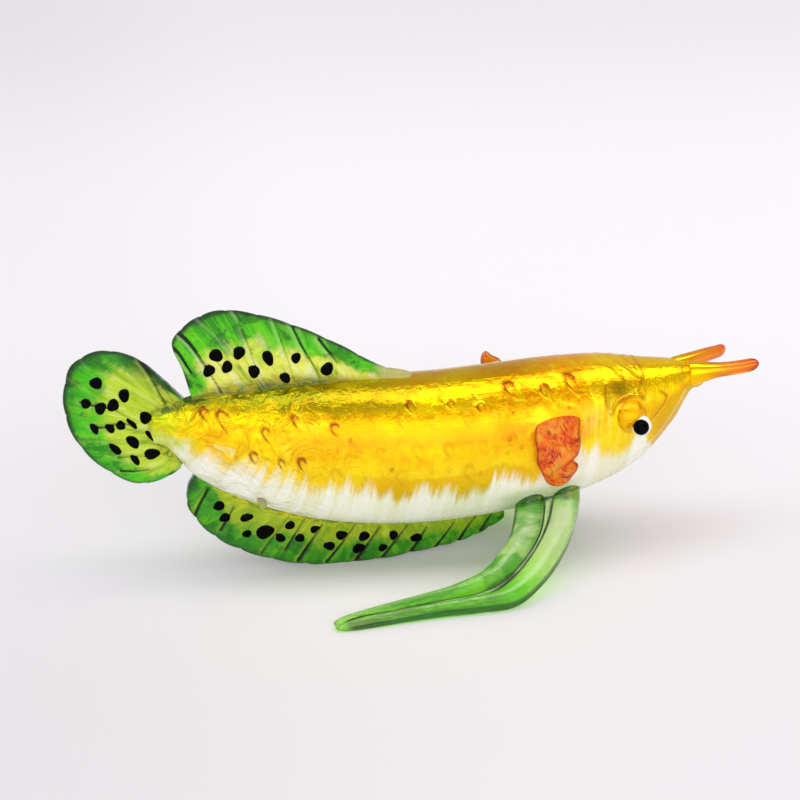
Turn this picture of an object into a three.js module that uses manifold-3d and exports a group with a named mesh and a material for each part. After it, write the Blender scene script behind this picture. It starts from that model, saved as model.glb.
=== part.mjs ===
// A blown and lampworked glass figurine of an Asian arowana. It stands on the rim of its
// anal fin and on two long ventral fins that sweep down, out and back to the table.
// Millimetres, +Z up, head toward +X, left side toward +Y. The origin lies on the table
// under the middle of the figurine.
import * as THREE from 'three';
import { mergeVertices } from 'three/addons/utils/BufferGeometryUtils.js';
import Module from 'manifold-3d';

const wasm = await Module();
wasm.setup();

// Driving dimensions of the blown body: x, height of the axis, half height, half width
const BODY_STATIONS = [
  [-49.0, 31.9, 3.8, 1.9],
  [-41.0, 29.2, 8.6, 4.4],
  [-33.0, 27.0, 11.1, 6.8],
  [-22.5, 25.2, 13.5, 9.4],
  [-10.5, 24.1, 14.9, 11.0],
  [2.0, 23.5, 15.1, 11.5],
  [14.0, 24.1, 15.0, 11.5],
  [26.0, 25.4, 14.4, 11.1],
  [36.5, 27.0, 12.75, 9.9],
  [44.0, 28.55, 10.1, 7.9],
  [50.0, 31.65, 6.3, 5.4],
  [54.5, 34.6, 2.5, 3.2],
];
const BODY_REAR = BODY_STATIONS[0][0];
const SNOUT_END = BODY_STATIONS.at(-1)[0];
const TAIL_PARTING = -33;
const HEAD_PARTING = 33;
const BODY_SIDES = 32;
const GAP = 0.3;
const ROOT_SINK = 1.6;

// Driving dimensions of the fins: rims as x, z points, thicknesses and ray counts
const DORSAL = {
  baseFrom: -41.6,
  baseTo: -1.2,
  rim: [[-43.4, 43.5], [-45.1, 48.6], [-41.6, 52.6], [-36.4, 54.4], [-29.5, 53.2],
    [-21.5, 50.0], [-13.5, 45.6], [-6.5, 41.2], [-0.6, 39.4]],
  rays: 10,
  rootThickness: 2.6,
  rimThickness: 1.3,
  scallop: 0.25,
};
const ANAL = {
  baseFrom: -41.4,
  baseTo: 17.6,
  rim: [[-43.6, 19.0], [-43.6, 14.8], [-39.6, 8.6], [-33.0, 4.0], [-24.0, 0.7], [-14.5, -0.5],
    [-5.0, 0.1], [4.5, 1.4], [9.2, 2.4], [13.7, 4.1], [17.8, 6.6]],
  rays: 14,
  rootThickness: 2.8,
  rimThickness: 1.4,
  scallop: 0.35,
};
const TAIL = {
  base: [[-43.2, 36.9], [-44.6, 35.4], [-45.4, 31.2], [-45.2, 27.0], [-44.2, 24.6]],
  rim: [[-44.4, 38.4], [-47.4, 42.0], [-51.9, 46.2], [-58.2, 48.0], [-63.4, 45.6],
    [-65.4, 39.0], [-64.2, 31.6], [-59.6, 24.9], [-52.6, 20.5], [-47.4, 21.4], [-44.6, 23.2]],
  rays: 11,
  rootThickness: 3.0,
  rimThickness: 1.6,
  scallop: 0.3,
};
const FIN_RIM_EDGE = 0.55;
const FIN_RAY_DEPTH = 0.4;
const FIN_STEPS_PER_RAY = 3;

// Driving dimensions of the long ventral fins: two strands each, centre points and radii
const VENTRAL = {
  inner: [[21.7, 5.4, 16.6], [20.9, 8.2, 12.35], [19.45, 11.0, 8.45], [16.6, 14.0, 5.9],
    [12.05, 17.7, 3.7], [5.75, 19.85, 2.5], [-1.8, 20.8, 1.8], [-9.0, 22.0, 1.4], [-19.4, 24.4, 0.85]],
  outer: [[28.4, 5.0, 17.9], [28.1, 7.6, 13.15], [26.45, 10.6, 9.15], [23.5, 14.5, 6.1],
    [18.75, 19.2, 3.4], [13.55, 22.65, 1.65], [6.8, 23.7, 1.4], [-1.6, 24.2, 1.25], [-19.1, 26.0, 0.65]],
  radii: [2.8, 2.85, 2.85, 2.7, 2.2, 1.55, 1.2, 1.0, 0.85],
  web: 0.35,
  steps: 22,
  lobe: [0.97, 0.7, 0, -0.7, -0.97],
  tipShare: 0.08,
};

// Driving dimensions of the short orange pectoral fins: spine points, half widths, thickness
const PECTORAL_RIGHT = {
  spine: [[25.4, -9.4, 32.0], [25.1, -11.8, 29.8], [24.95, -13.0, 26.2], [25.3, -13.1, 22.6],
    [25.5, -12.6, 19.6]],
  across: [1, 0, 0.12],
  halfWidths: [4.3, 4.35, 4.1, 3.4, 2.0],
  halfThickness: 1.0,
};
const PECTORAL_LEFT = {
  spine: [[25.8, 8.8, 24.6], [23.2, 11.4, 27.4], [20.0, 13.0, 30.3], [17.7, 13.9, 33.1],
    [16.4, 14.3, 35.7]],
  across: [0.76, 0.1, 0.64],
  halfWidths: [3.6, 4.2, 3.2, 2.0, 1.1],
  halfThickness: 1.0,
};

// Driving dimensions of the barbels: centre points and half sizes across and up
const BARBEL_RIGHT = {
  spine: [[53.0, -1.4, 35.3], [55.8, -2.2, 35.9], [58.4, -3.1, 36.5], [60.6, -4.0, 37.05],
    [62.7, -5.0, 37.75], [65.4, -6.3, 38.75]],
  across: [1.7, 1.6, 1.45, 1.35, 1.3, 1.25],
  up: [1.8, 1.65, 1.45, 1.35, 1.3, 1.25],
};
const BARBEL_LEFT = {
  spine: [[50.6, 1.0, 36.4], [52.4, 1.4, 36.6], [55.1, 2.4, 36.7], [58.0, 3.7, 36.7],
    [60.4, 4.9, 36.6], [63.0, 6.3, 36.6]],
  across: [1.5, 1.5, 1.45, 1.4, 1.3, 1.2],
  up: [1.5, 1.5, 1.45, 1.4, 1.3, 1.2],
};

// Driving dimensions of the scale marks: raised crescents in rows along each flank. A row is an
// angle up from the widest line of the flank, with the x where its first and last marks stand.
const MARKS = {
  rows: [
    { rise: 52, from: -27.0, to: 30.0 },
    { rise: 33, from: -29.5, to: 17.0 },
    { rise: 12, from: -26.7, to: 17.5 },
    { rise: -8, from: -29.5, to: 15.5 },
  ],
  pitch: 6.1,
  radius: 2.0,
  sweep: 125,
  lean: 40,
  rodRadius: 0.45,
  endShare: 0.45,
  steps: 4,
  sides: 4,
  wander: 0.5,
  clearOfPectoral: 7.5,
  seed: 7,
};

// Driving dimensions of the mouth slits and of the collar where the snout glass was joined on:
// x and rise on the right flank, mirrored for the left
const MOUTH_LINE = [[50.2, 30], [47.6, 22], [46.1, 11], [44.5, 2]];
const MOUTH_SLIT = 0.45;
const COLLAR_LINE = [[43.9, 90], [43.5, 76], [42.3, 60], [41.2, 46], [39.6, 36], [37.4, 30], [35.7, 20]];
const COLLAR_ROD = 0.5;

// A stub of clear glass that was left on the right of the belly
const BELLY_STUB = { x: -29.9, rise: -49, height: 1.6, radius: 0.75 };

// Driving dimensions of the eyes, given for the left side and mirrored
const EYE = {
  mound: [39.9, 7.4, 30.4],
  moundRadius: 3.4,
  bead: [41.7, 9.9, 29.3],
  beadRadius: 2.0,
  look: [-0.27, 0.93, 0.22],
  pupilRadius: 1.5,
  pupilShift: 1.45,
};

// Boolean helpers
function closedSolid(geometry) {
  const bare = geometry.clone();
  bare.deleteAttribute('normal');
  bare.deleteAttribute('uv');
  const merged = mergeVertices(bare, 1e-4);
  return new wasm.Manifold(new wasm.Mesh({
    numProp: 3,
    vertProperties: new Float32Array(merged.attributes.position.array),
    triVerts: new Uint32Array(merged.index.array),
  }));
}

function largestPiece(solid) {
  const pieces = solid.decompose();
  return pieces.reduce((best, piece) => (piece.volume() > best.volume() ? piece : best));
}

function toGeometry(solid) {
  const mesh = solid.getMesh();
  const geometry = new THREE.BufferGeometry();
  geometry.setAttribute('position', new THREE.BufferAttribute(new Float32Array(mesh.vertProperties), 3));
  geometry.setIndex(new THREE.BufferAttribute(new Uint32Array(mesh.triVerts), 1));
  geometry.computeVertexNormals();
  return geometry;
}

// A closed skin over rings that hold the same even number of points. The second half of each
// ring mirrors the first, so both faces of a thin fin are split along matching diagonals.
function skin(rings) {
  const count = rings[0].length;
  const positions = rings.flat().flatMap((point) => point.toArray());
  const faces = [];
  for (let i = 0; i < rings.length - 1; i += 1) {
    for (let j = 0; j < count; j += 1) {
      const next = (j + 1) % count;
      const a = i * count + j;
      const b = i * count + next;
      const c = a + count;
      const d = b + count;
      if (j < count / 2) faces.push(a, d, b, a, c, d);
      else faces.push(a, c, b, b, c, d);
    }
  }
  const last = (rings.length - 1) * count;
  for (let j = 0; j < count / 2 - 1; j += 1) {
    const mate = count - 1 - j;
    faces.push(j, j + 1, mate, j + 1, mate - 1, mate);
    faces.push(last + j, last + mate, last + j + 1, last + j + 1, last + mate, last + mate - 1);
  }
  const geometry = new THREE.BufferGeometry();
  geometry.setAttribute('position', new THREE.Float32BufferAttribute(positions, 3));
  geometry.setIndex(faces);
  return facedOutward(geometry);
}

function facedOutward(geometry) {
  const position = geometry.attributes.position;
  const index = geometry.index.array;
  const [a, b, c] = [new THREE.Vector3(), new THREE.Vector3(), new THREE.Vector3()];
  let volume = 0;
  for (let i = 0; i < index.length; i += 3) {
    a.fromBufferAttribute(position, index[i]);
    b.fromBufferAttribute(position, index[i + 1]);
    c.fromBufferAttribute(position, index[i + 2]);
    volume += a.dot(b.cross(c));
  }
  if (volume < 0) geometry.setIndex(Array.from(index).reverse());
  return geometry;
}

const vector = (list) => new THREE.Vector3(...list);
const curveThrough = (points) => new THREE.CatmullRomCurve3(points.map(vector));
const mirrored = ([x, y, z]) => [x, -y, z];

// Interpolates a list of numbers smoothly over 0 to 1
function spread(values) {
  const places = values.map((value, i) => i / (values.length - 1));
  const curve = new THREE.CubicInterpolant(places, values, 1);
  return (t) => curve.evaluate(t)[0];
}

// The blown body
const bodyProfile = new THREE.CubicInterpolant(
  BODY_STATIONS.map((station) => station[0]),
  BODY_STATIONS.flatMap((station) => station.slice(1)),
  3,
);

function bodyAt(x) {
  const [axis, halfHeight, halfWidth] = bodyProfile.evaluate(x);
  return { axis, halfHeight, halfWidth, top: axis + halfHeight, bottom: axis - halfHeight };
}

function bodyLength(from, to, steps, grow = 0) {
  const rings = [];
  for (let i = 0; i <= steps; i += 1) {
    const x = THREE.MathUtils.lerp(from, to, i / steps);
    const { axis, halfHeight, halfWidth } = bodyAt(x);
    const ring = [];
    for (let j = 0; j < BODY_SIDES; j += 1) {
      const angle = (2 * Math.PI * (j + 0.5)) / BODY_SIDES;
      const y = (halfWidth + grow) * Math.cos(angle);
      const z = axis + (halfHeight + grow) * Math.sin(angle);
      ring.push(new THREE.Vector3(x, y, z));
    }
    rings.push(ring);
  }
  return skin(rings);
}

const clearOfBody = closedSolid(bodyLength(BODY_REAR, SNOUT_END + GAP, 90, GAP));

// A point over the flank of the body. The rise is the angle up from the flank's widest line.
function overFlank(x, rise, side, lift = 0) {
  const { axis, halfHeight, halfWidth } = bodyAt(x);
  const angle = THREE.MathUtils.degToRad(rise);
  const outward = new THREE.Vector2(Math.cos(angle) / halfWidth, Math.sin(angle) / halfHeight).normalize();
  const y = halfWidth * Math.cos(angle) + lift * outward.x;
  const z = axis + halfHeight * Math.sin(angle) + lift * outward.y;
  return new THREE.Vector3(x, side * y, z);
}

// A round rod along a curve, as thick at each share of its length as radiusAt says
function rodAlong(curve, radiusAt, steps, sides) {
  const frames = curve.computeFrenetFrames(steps, false);
  const rings = [];
  for (let i = 0; i <= steps; i += 1) {
    const centre = curve.getPointAt(i / steps);
    const ring = [];
    for (let j = 0; j < sides; j += 1) {
      const angle = (2 * Math.PI * (j + 0.5)) / sides;
      ring.push(centre.clone()
        .addScaledVector(frames.normals[i], radiusAt(i / steps) * Math.cos(angle))
        .addScaledVector(frames.binormals[i], radiusAt(i / steps) * Math.sin(angle)));
    }
    rings.push(ring);
  }
  return closedSolid(skin(rings));
}

// Draws from 0 to 1 that come out alike each time
function seededDraws(seed) {
  let state = seed;
  return () => {
    state = (state * 16807) % 2147483647;
    return state / 2147483647;
  };
}

// One crescent: an arc laid on the flank, its back up and toward the head, its ends thinner
function crescent(x, rise, side) {
  const points = [];
  for (let i = 0; i <= 4; i += 1) {
    const angle = THREE.MathUtils.degToRad(MARKS.lean + MARKS.sweep * (i / 4 - 0.5));
    const along = x + MARKS.radius * Math.cos(angle);
    const { halfHeight, halfWidth } = bodyAt(along);
    const climb = THREE.MathUtils.radToDeg((MARKS.radius * Math.sin(angle) * 2) / (halfHeight + halfWidth));
    points.push(overFlank(along, rise + climb, side));
  }
  const radiusAt = (share) => MARKS.rodRadius * (1 - MARKS.endShare * Math.abs(2 * share - 1));
  return rodAlong(new THREE.CatmullRomCurve3(points), radiusAt, MARKS.steps, MARKS.sides);
}

function scaleMarks() {
  const draw = seededDraws(MARKS.seed);
  const wander = () => MARKS.wander * (2 * draw() - 1);
  const marks = [];
  for (const [side, pectoral] of [[-1, PECTORAL_RIGHT], [1, PECTORAL_LEFT]]) {
    const spine = pectoral.spine.map(vector);
    for (const row of MARKS.rows) {
      for (let x = row.from; x <= row.to; x += MARKS.pitch) {
        const place = [x + wander(), row.rise + 2 * wander()];
        const spot = overFlank(...place, side);
        const nearest = Math.min(...spine.map((point) => point.distanceTo(spot)));
        if (nearest > MARKS.clearOfPectoral) marks.push(crescent(...place, side));
      }
    }
  }
  return marks;
}

function bellyStub() {
  const { x, rise, height, radius } = BELLY_STUB;
  const line = new THREE.LineCurve3(overFlank(x, rise, -1, -1), overFlank(x, rise, -1, height));
  return rodAlong(line, (share) => radius * (1 - 0.4 * share), 2, 8);
}

const flankCurve = (line, side) => new THREE.CatmullRomCurve3(line.map(([x, rise]) => overFlank(x, rise, side)));

function trunk() {
  const plain = closedSolid(bodyLength(TAIL_PARTING + GAP / 2, HEAD_PARTING - GAP / 2, 22));
  return wasm.Manifold.union([plain, bellyStub(), ...scaleMarks()]);
}

function head() {
  let solid = closedSolid(bodyLength(HEAD_PARTING + GAP / 2, SNOUT_END, 14));
  for (const side of [-1, 1]) {
    const collar = rodAlong(flankCurve(COLLAR_LINE, side), () => COLLAR_ROD, 10, 6);
    const slit = rodAlong(flankCurve(MOUTH_LINE, side), () => MOUTH_SLIT, 6, 6);
    solid = solid.add(collar).subtract(slit);
  }
  return solid;
}

// The table top, as a block that trims what reaches below it to a flat
const tableBlock = closedSolid(new THREE.BoxGeometry(200, 100, 20).translate(0, 0, -10));

// Fins in the middle plane. Each is a fan of glass between its root line and its rim, thick
// at the root, thin at the rim, with rounded rays parted by grooves on both faces.
function finSolid(baseCurve, rimCurve, fin) {
  const steps = fin.rays * FIN_STEPS_PER_RAY;
  const levels = [0, 0.25, 0.5, 0.75, 0.92, 1];
  const rings = [];
  for (let i = 0; i <= steps; i += 1) {
    const share = i / steps;
    const root = baseCurve.getPoint(share);
    const rim = rimCurve.getPoint(share);
    const ray = Math.sqrt(Math.abs(Math.sin(Math.PI * fin.rays * share)));
    const outward = rim.clone().sub(root).normalize();
    rim.addScaledVector(outward, fin.scallop * (ray - 1));
    const near = [];
    const far = [];
    for (const level of levels) {
      const point = root.clone().lerp(rim, level);
      const full = THREE.MathUtils.lerp(fin.rootThickness, fin.rimThickness, level);
      const relief = 1 - FIN_RAY_DEPTH * (1 - ray) * Math.min(1, level * 4);
      const thickness = level === 1 ? FIN_RIM_EDGE : full * relief;
      near.push(point.clone().setY(point.y - thickness / 2));
      far.unshift(point.clone().setY(point.y + thickness / 2));
    }
    rings.push([...near, ...far]);
  }
  return closedSolid(skin(rings));
}

const flatCurve = (points) => curveThrough(points.map(([x, z]) => [x, 0, z]));

function baseAlongBody(fin, edge) {
  const points = [];
  for (let i = 0; i <= 8; i += 1) {
    const x = THREE.MathUtils.lerp(fin.baseFrom, fin.baseTo, i / 8);
    const sink = edge === 'top' ? -ROOT_SINK : ROOT_SINK;
    points.push([x, bodyAt(x)[edge] + sink]);
  }
  return flatCurve(points);
}

const rooted = (solid) => largestPiece(solid.subtract(clearOfBody));

const tailFin = rooted(finSolid(flatCurve(TAIL.base), flatCurve(TAIL.rim), TAIL));
const dorsalFin = rooted(finSolid(baseAlongBody(DORSAL, 'top'), flatCurve(DORSAL.rim), DORSAL));
const analFin = rooted(finSolid(baseAlongBody(ANAL, 'bottom'), flatCurve(ANAL.rim), ANAL).subtract(tableBlock));

// A long ventral fin: two fat strands side by side with a thin web between them at the top
function ventralFin(side) {
  const turn = ([x, y, z]) => [x, side * y, z];
  const inner = curveThrough(VENTRAL.inner.map(turn));
  const outer = curveThrough(VENTRAL.outer.map(turn));
  const radiusAt = spread(VENTRAL.radii);
  const rings = [];
  for (let i = 0; i <= VENTRAL.steps; i += 1) {
    const share = i / VENTRAL.steps;
    const a = inner.getPointAt(share);
    const b = outer.getPointAt(share);
    const middle = a.clone().lerp(b, 0.5);
    const across = b.clone().sub(a).normalize();
    const along = inner.getTangentAt(share).add(outer.getTangentAt(share)).normalize();
    const face = along.cross(across).normalize();
    const apart = a.distanceTo(b) / 2;
    const pastTip = Math.max(0, (share - 1 + VENTRAL.tipShare) / VENTRAL.tipShare);
    const radius = radiusAt(share) * Math.sqrt(1 - 0.75 * pastTip ** 2);
    const half = VENTRAL.lobe.map((offset, k) => {
      const u = Math.max(apart + offset * radius, (VENTRAL.lobe.length - k) * 0.03 * radius);
      const strand = Math.sqrt(Math.max(0, radius ** 2 - (u - apart) ** 2));
      return [u, Math.max(strand, VENTRAL.web * radius)];
    });
    const topSide = [...half, ...half.map(([u, h]) => [-u, h]).reverse()];
    const underSide = topSide.map(([u, h]) => [u, -h]).reverse();
    rings.push([...topSide, ...underSide].map(
      ([u, h]) => middle.clone().addScaledVector(across, u).addScaledVector(face, h),
    ));
  }
  return rooted(closedSolid(skin(rings)).subtract(tableBlock));
}

// A pectoral fin: a flat petal of orange glass pressed on at its root
function pectoralFin(fin) {
  const spine = curveThrough(fin.spine);
  const halfWidthAt = spread(fin.halfWidths);
  const across = vector(fin.across).normalize();
  const steps = 11;
  const sides = 14;
  const rings = [];
  for (let i = 0; i <= steps; i += 1) {
    const share = i / steps;
    const centre = spine.getPoint(share);
    const face = spine.getTangent(share).cross(across).normalize();
    const ring = [];
    for (let j = 0; j < sides; j += 1) {
      const angle = (2 * Math.PI * (j + 0.5)) / sides;
      ring.push(centre.clone()
        .addScaledVector(across, halfWidthAt(share) * Math.cos(angle))
        .addScaledVector(face, fin.halfThickness * Math.sin(angle)));
    }
    rings.push(ring);
  }
  return rooted(closedSolid(skin(rings)));
}

// A barbel: a tapered rod with a rounded tip, drawn out of the snout
function barbel(rod) {
  const spine = curveThrough(rod.spine);
  const acrossAt = spread(rod.across);
  const upAt = spread(rod.up);
  const steps = 14;
  const sides = 12;
  const tipLength = 0.14;
  const rings = [];
  for (let i = 0; i <= steps; i += 1) {
    const share = i / steps;
    const centre = spine.getPoint(share);
    const fromTip = Math.max(0, (share - 1 + tipLength) / tipLength);
    const round = Math.sqrt(Math.max(0.08, 1 - fromTip ** 2));
    const ring = [];
    for (let j = 0; j < sides; j += 1) {
      const angle = (2 * Math.PI * (j + 0.5)) / sides;
      const y = acrossAt(share) * round * Math.cos(angle);
      const z = upAt(share) * round * Math.sin(angle);
      ring.push(centre.clone().add(new THREE.Vector3(0, y, z)));
    }
    rings.push(ring);
  }
  return rooted(closedSolid(skin(rings)));
}

// The eyes: a mound of clear yellow glass, a white bead set in it, a black pupil on the bead
function ball(centre, radius) {
  return closedSolid(new THREE.SphereGeometry(radius, 14, 10).translate(...centre));
}

function eye(side) {
  const turn = side > 0 ? (point) => point : mirrored;
  const look = vector(turn(EYE.look)).normalize();
  const beadCentre = turn(EYE.bead);
  const pupilCentre = vector(beadCentre).addScaledVector(look, EYE.pupilShift).toArray();
  const bead = ball(beadCentre, EYE.beadRadius);
  const clearOfBead = ball(beadCentre, EYE.beadRadius + GAP);
  const mound = rooted(ball(turn(EYE.mound), EYE.moundRadius).subtract(clearOfBead));
  const pupil = ball(pupilCentre, EYE.pupilRadius).subtract(clearOfBead);
  return { mound, bead: rooted(bead), pupil: largestPiece(pupil) };
}

// Materials
const finish = (color, roughness) => new THREE.MeshStandardMaterial({ color, roughness, metalness: 0 });
const GOLD_GLASS = finish('#e8b70c', 0.08);
const GREEN_GLASS = finish('#4fa82a', 0.06);
const ORANGE_GLASS = finish('#e0622a', 0.08);
const AMBER_GLASS = finish('#f09a1c', 0.06);
const WHITE_GLASS = finish('#f4f2ec', 0.1);
const BLACK_GLASS = finish('#0b0b0d', 0.08);

const figurine = new THREE.Group();

function addNode(name, geometry, material) {
  const mesh = new THREE.Mesh(geometry, material);
  mesh.name = name;
  figurine.add(mesh);
}

addNode('tail_base', bodyLength(BODY_REAR, TAIL_PARTING - GAP / 2, 7), GOLD_GLASS);
addNode('trunk', toGeometry(largestPiece(trunk())), GOLD_GLASS);
addNode('head', toGeometry(largestPiece(head())), GOLD_GLASS);
addNode('tail_fin', toGeometry(tailFin), GREEN_GLASS);
addNode('dorsal_fin', toGeometry(dorsalFin), GREEN_GLASS);
addNode('anal_fin', toGeometry(analFin), GREEN_GLASS);
addNode('pectoral_fin_right', toGeometry(pectoralFin(PECTORAL_RIGHT)), ORANGE_GLASS);
addNode('pectoral_fin_left', toGeometry(pectoralFin(PECTORAL_LEFT)), ORANGE_GLASS);
addNode('barbel_right', toGeometry(barbel(BARBEL_RIGHT)), AMBER_GLASS);
addNode('barbel_left', toGeometry(barbel(BARBEL_LEFT)), AMBER_GLASS);
for (const [word, side] of [['right', -1], ['left', 1]]) {
  const { mound, bead, pupil } = eye(side);
  addNode(`ventral_fin_${word}`, toGeometry(ventralFin(side)), GREEN_GLASS);
  addNode(`eye_mound_${word}`, toGeometry(mound), GOLD_GLASS);
  addNode(`eye_bead_${word}`, toGeometry(bead), WHITE_GLASS);
  addNode(`pupil_${word}`, toGeometry(pupil), BLACK_GLASS);
}

export default figurine;
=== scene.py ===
# A lampworked glass figurine of an Asian arowana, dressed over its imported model: a blown body
# with gold and white paint behind clear glass, green fins with black dots, orange pectoral
# fins, amber barbels and two long ventral fins that it stands on. Metres, +Z up, head to +X.
import math

import bpy
import numpy as np
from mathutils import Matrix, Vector
from mathutils.bvhtree import BVHTree


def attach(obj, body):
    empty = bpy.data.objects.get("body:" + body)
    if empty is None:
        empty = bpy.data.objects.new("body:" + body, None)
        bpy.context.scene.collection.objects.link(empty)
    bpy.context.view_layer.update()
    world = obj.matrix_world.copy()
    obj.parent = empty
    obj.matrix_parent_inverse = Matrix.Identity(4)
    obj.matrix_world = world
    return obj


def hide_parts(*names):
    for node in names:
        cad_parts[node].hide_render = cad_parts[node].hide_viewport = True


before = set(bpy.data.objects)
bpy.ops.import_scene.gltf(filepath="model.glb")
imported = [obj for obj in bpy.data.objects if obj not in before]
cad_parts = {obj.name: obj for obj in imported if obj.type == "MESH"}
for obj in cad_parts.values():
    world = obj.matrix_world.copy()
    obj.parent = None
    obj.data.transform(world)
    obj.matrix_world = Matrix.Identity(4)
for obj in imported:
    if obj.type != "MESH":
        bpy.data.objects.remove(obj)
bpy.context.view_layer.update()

# The camera
# It stands near and a little above the right flank, so the whole picture looks down at the
# table. Pixels of the 800 by 800 picture place what is drawn on the glass.
MM = 0.001
PICTURE_SIDE = 800
CAMERA_PLACE = Vector((-65.7, -357.0, 202.7)) * MM
CAMERA_TARGET = Vector((-2.75, 0.0, 33.67)) * MM
CAMERA_LENS = 95.4
SENSOR_SIDE = 36.0

camera = bpy.data.objects.new("camera", bpy.data.cameras.new("camera"))
camera.data.lens = CAMERA_LENS
camera.data.sensor_width = SENSOR_SIDE
camera.data.clip_start = 0.01
camera.location = CAMERA_PLACE
camera.rotation_euler = (CAMERA_TARGET - CAMERA_PLACE).to_track_quat("-Z", "Y").to_euler()
bpy.context.collection.objects.link(camera)
bpy.context.scene.camera = camera


def sight_through(pixel):
    """The direction in which the camera looks through a pixel."""
    ahead = (CAMERA_TARGET - CAMERA_PLACE).normalized()
    right = ahead.cross(Vector((0, 0, 1))).normalized()
    up = right.cross(ahead)
    half = PICTURE_SIDE / 2
    reach = half / (SENSOR_SIDE / 2 / CAMERA_LENS)
    return (ahead * reach + right * (pixel[0] - half) + up * (half - pixel[1])).normalized()


def in_plane(pixel, y):
    """The x and z where the line of sight through a pixel meets an upright plane along the fish."""
    sight = sight_through(pixel)
    spot = CAMERA_PLACE + sight * ((y - CAMERA_PLACE.y) / sight.y)
    return spot.x, spot.z


# The body
# A long bubble of blown glass, closed at the tail and drawn out to the snout. It is painted
# inside, gold above and pearly white below, and thin crescents of glass are melted onto it.
BODY_STATIONS = np.array([
    (-49.0, 31.9, 3.8, 1.9), (-41.0, 29.2, 8.6, 4.4), (-33.0, 27.0, 11.1, 6.8),
    (-22.5, 25.2, 13.5, 9.4), (-10.5, 24.1, 14.9, 11.0), (2.0, 23.5, 15.1, 11.5),
    (14.0, 24.1, 15.0, 11.5), (26.0, 25.4, 14.4, 11.1), (36.5, 27.0, 12.75, 9.9),
    (44.0, 28.55, 10.1, 7.9), (50.0, 31.65, 6.3, 5.4), (54.5, 34.6, 2.5, 3.2),
]) * MM
BODY_RINGS = 520
BODY_SIDES = 400
TAIL_CAP = 1.3 * MM
SNOUT_CAP = 2.6 * MM


def smooth_line(places, values, at):
    """Values along a smooth line through the given ones, which is level at both ends."""
    places = np.asarray(places, float)
    values = np.asarray(values, float).reshape(len(places), -1)
    climbs = np.diff(values, axis=0) / np.diff(places)[:, None]
    slopes = np.zeros_like(values)
    slopes[1:-1] = (climbs[1:] + climbs[:-1]) / 2
    at = np.clip(at, places[0], places[-1])
    k = np.clip(np.searchsorted(places, at, side="right") - 1, 0, len(places) - 2)
    gap = (places[k + 1] - places[k])[:, None]
    p = (at - places[k])[:, None] / gap
    start = (1 + 2 * p) * (1 - p) ** 2 * values[k] + p * (1 - p) ** 2 * gap * slopes[k]
    end = p ** 2 * (3 - 2 * p) * values[k + 1] - p ** 2 * (1 - p) * gap * slopes[k + 1]
    return start + end


def body_at(x):
    """Height of the axis, half height and half width of the body at each x."""
    return smooth_line(BODY_STATIONS[:, 0], BODY_STATIONS[:, 1:], np.atleast_1d(x)).T


def over_flank(x, rise, side, lift=0.0):
    """Points over the body. The rise is the angle in degrees up from the flank's widest line."""
    axis, half_height, half_width = body_at(x)
    angle = np.radians(rise)
    outward = np.array([np.cos(angle) / half_width, np.sin(angle) / half_height])
    outward /= np.linalg.norm(outward, axis=0)
    y = half_width * np.cos(angle) + lift * outward[0]
    z = axis + half_height * np.sin(angle) + lift * outward[1]
    return np.stack([np.broadcast_to(x, y.shape), side * y, z], axis=-1)


def ring_angles(count):
    """Angles of evenly spaced points round a ring."""
    return 2 * math.pi * (np.arange(count) + 0.5) / count


def closed_loft(rings):
    """Vertices and faces of a skin over equal rings, closed by a fan at each end."""
    count, around = rings.shape[:2]
    ends = [rings[0].mean(0), rings[-1].mean(0)]
    vertices = np.vstack([rings.reshape(-1, 3), ends])
    here = np.arange(count * around).reshape(count, around)
    beside = np.roll(here, -1, axis=1)
    quads = np.stack([here[:-1], beside[:-1], beside[1:], here[1:]], axis=-1).reshape(-1, 4)
    first, last = count * around, count * around + 1
    fans = [(first, b, a) for a, b in zip(here[0], beside[0])]
    fans += [(last, a, b) for a, b in zip(here[-1], beside[-1])]
    return vertices, quads.tolist() + fans


def add_piece(name, form, finish, slot, nodes=(), points=None):
    """Makes a smooth mesh of (vertices, faces), lets it ride on the figurine and replace nodes."""
    vertices, faces = form
    mesh = bpy.data.meshes.new(name)
    mesh.from_pydata(np.asarray(vertices).tolist(), [], faces)
    for label, numbers in (points or {}).items():
        layer = mesh.attributes.new(label, "FLOAT", "POINT")
        layer.data.foreach_set("value", np.asarray(numbers, np.float32))
    mesh.validate()
    outward = signed_volume(mesh)
    if outward < 0:
        mesh.flip_normals()
    mesh.polygons.foreach_set("use_smooth", [True] * len(mesh.polygons))
    mesh.materials.append(finish)
    piece = bpy.data.objects.new(name, mesh)
    bpy.context.collection.objects.link(piece)
    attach(piece, "root")
    if nodes:
        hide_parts(*nodes)


def signed_volume(mesh):
    """The volume inside a closed mesh, below zero where its faces look inward."""
    mesh.calc_loop_triangles()
    corners = np.empty(len(mesh.loop_triangles) * 3, np.int32)
    mesh.loop_triangles.foreach_get("vertices", corners)
    places = np.empty(len(mesh.vertices) * 3)
    mesh.vertices.foreach_get("co", places)
    a, b, c = places.reshape(-1, 3)[corners].reshape(-1, 3, 3).transpose(1, 0, 2)
    return float(np.einsum("ij,ij->i", a, np.cross(b, c)).sum())


class Value:
    """A socket in a material. Sums and products with it add the Math nodes that they need."""

    def __init__(self, finish, socket):
        self.finish = finish
        self.socket = socket

    def __add__(self, other):
        return self.finish.maths("ADD", self, other)

    def __sub__(self, other):
        return self.finish.maths("SUBTRACT", self, other)

    def __rsub__(self, other):
        return self.finish.maths("SUBTRACT", other, self)

    def __mul__(self, other):
        return self.finish.maths("MULTIPLY", self, other)

    def __abs__(self):
        return self.finish.maths("ABSOLUTE", self)

    __radd__ = __add__
    __rmul__ = __mul__


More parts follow.
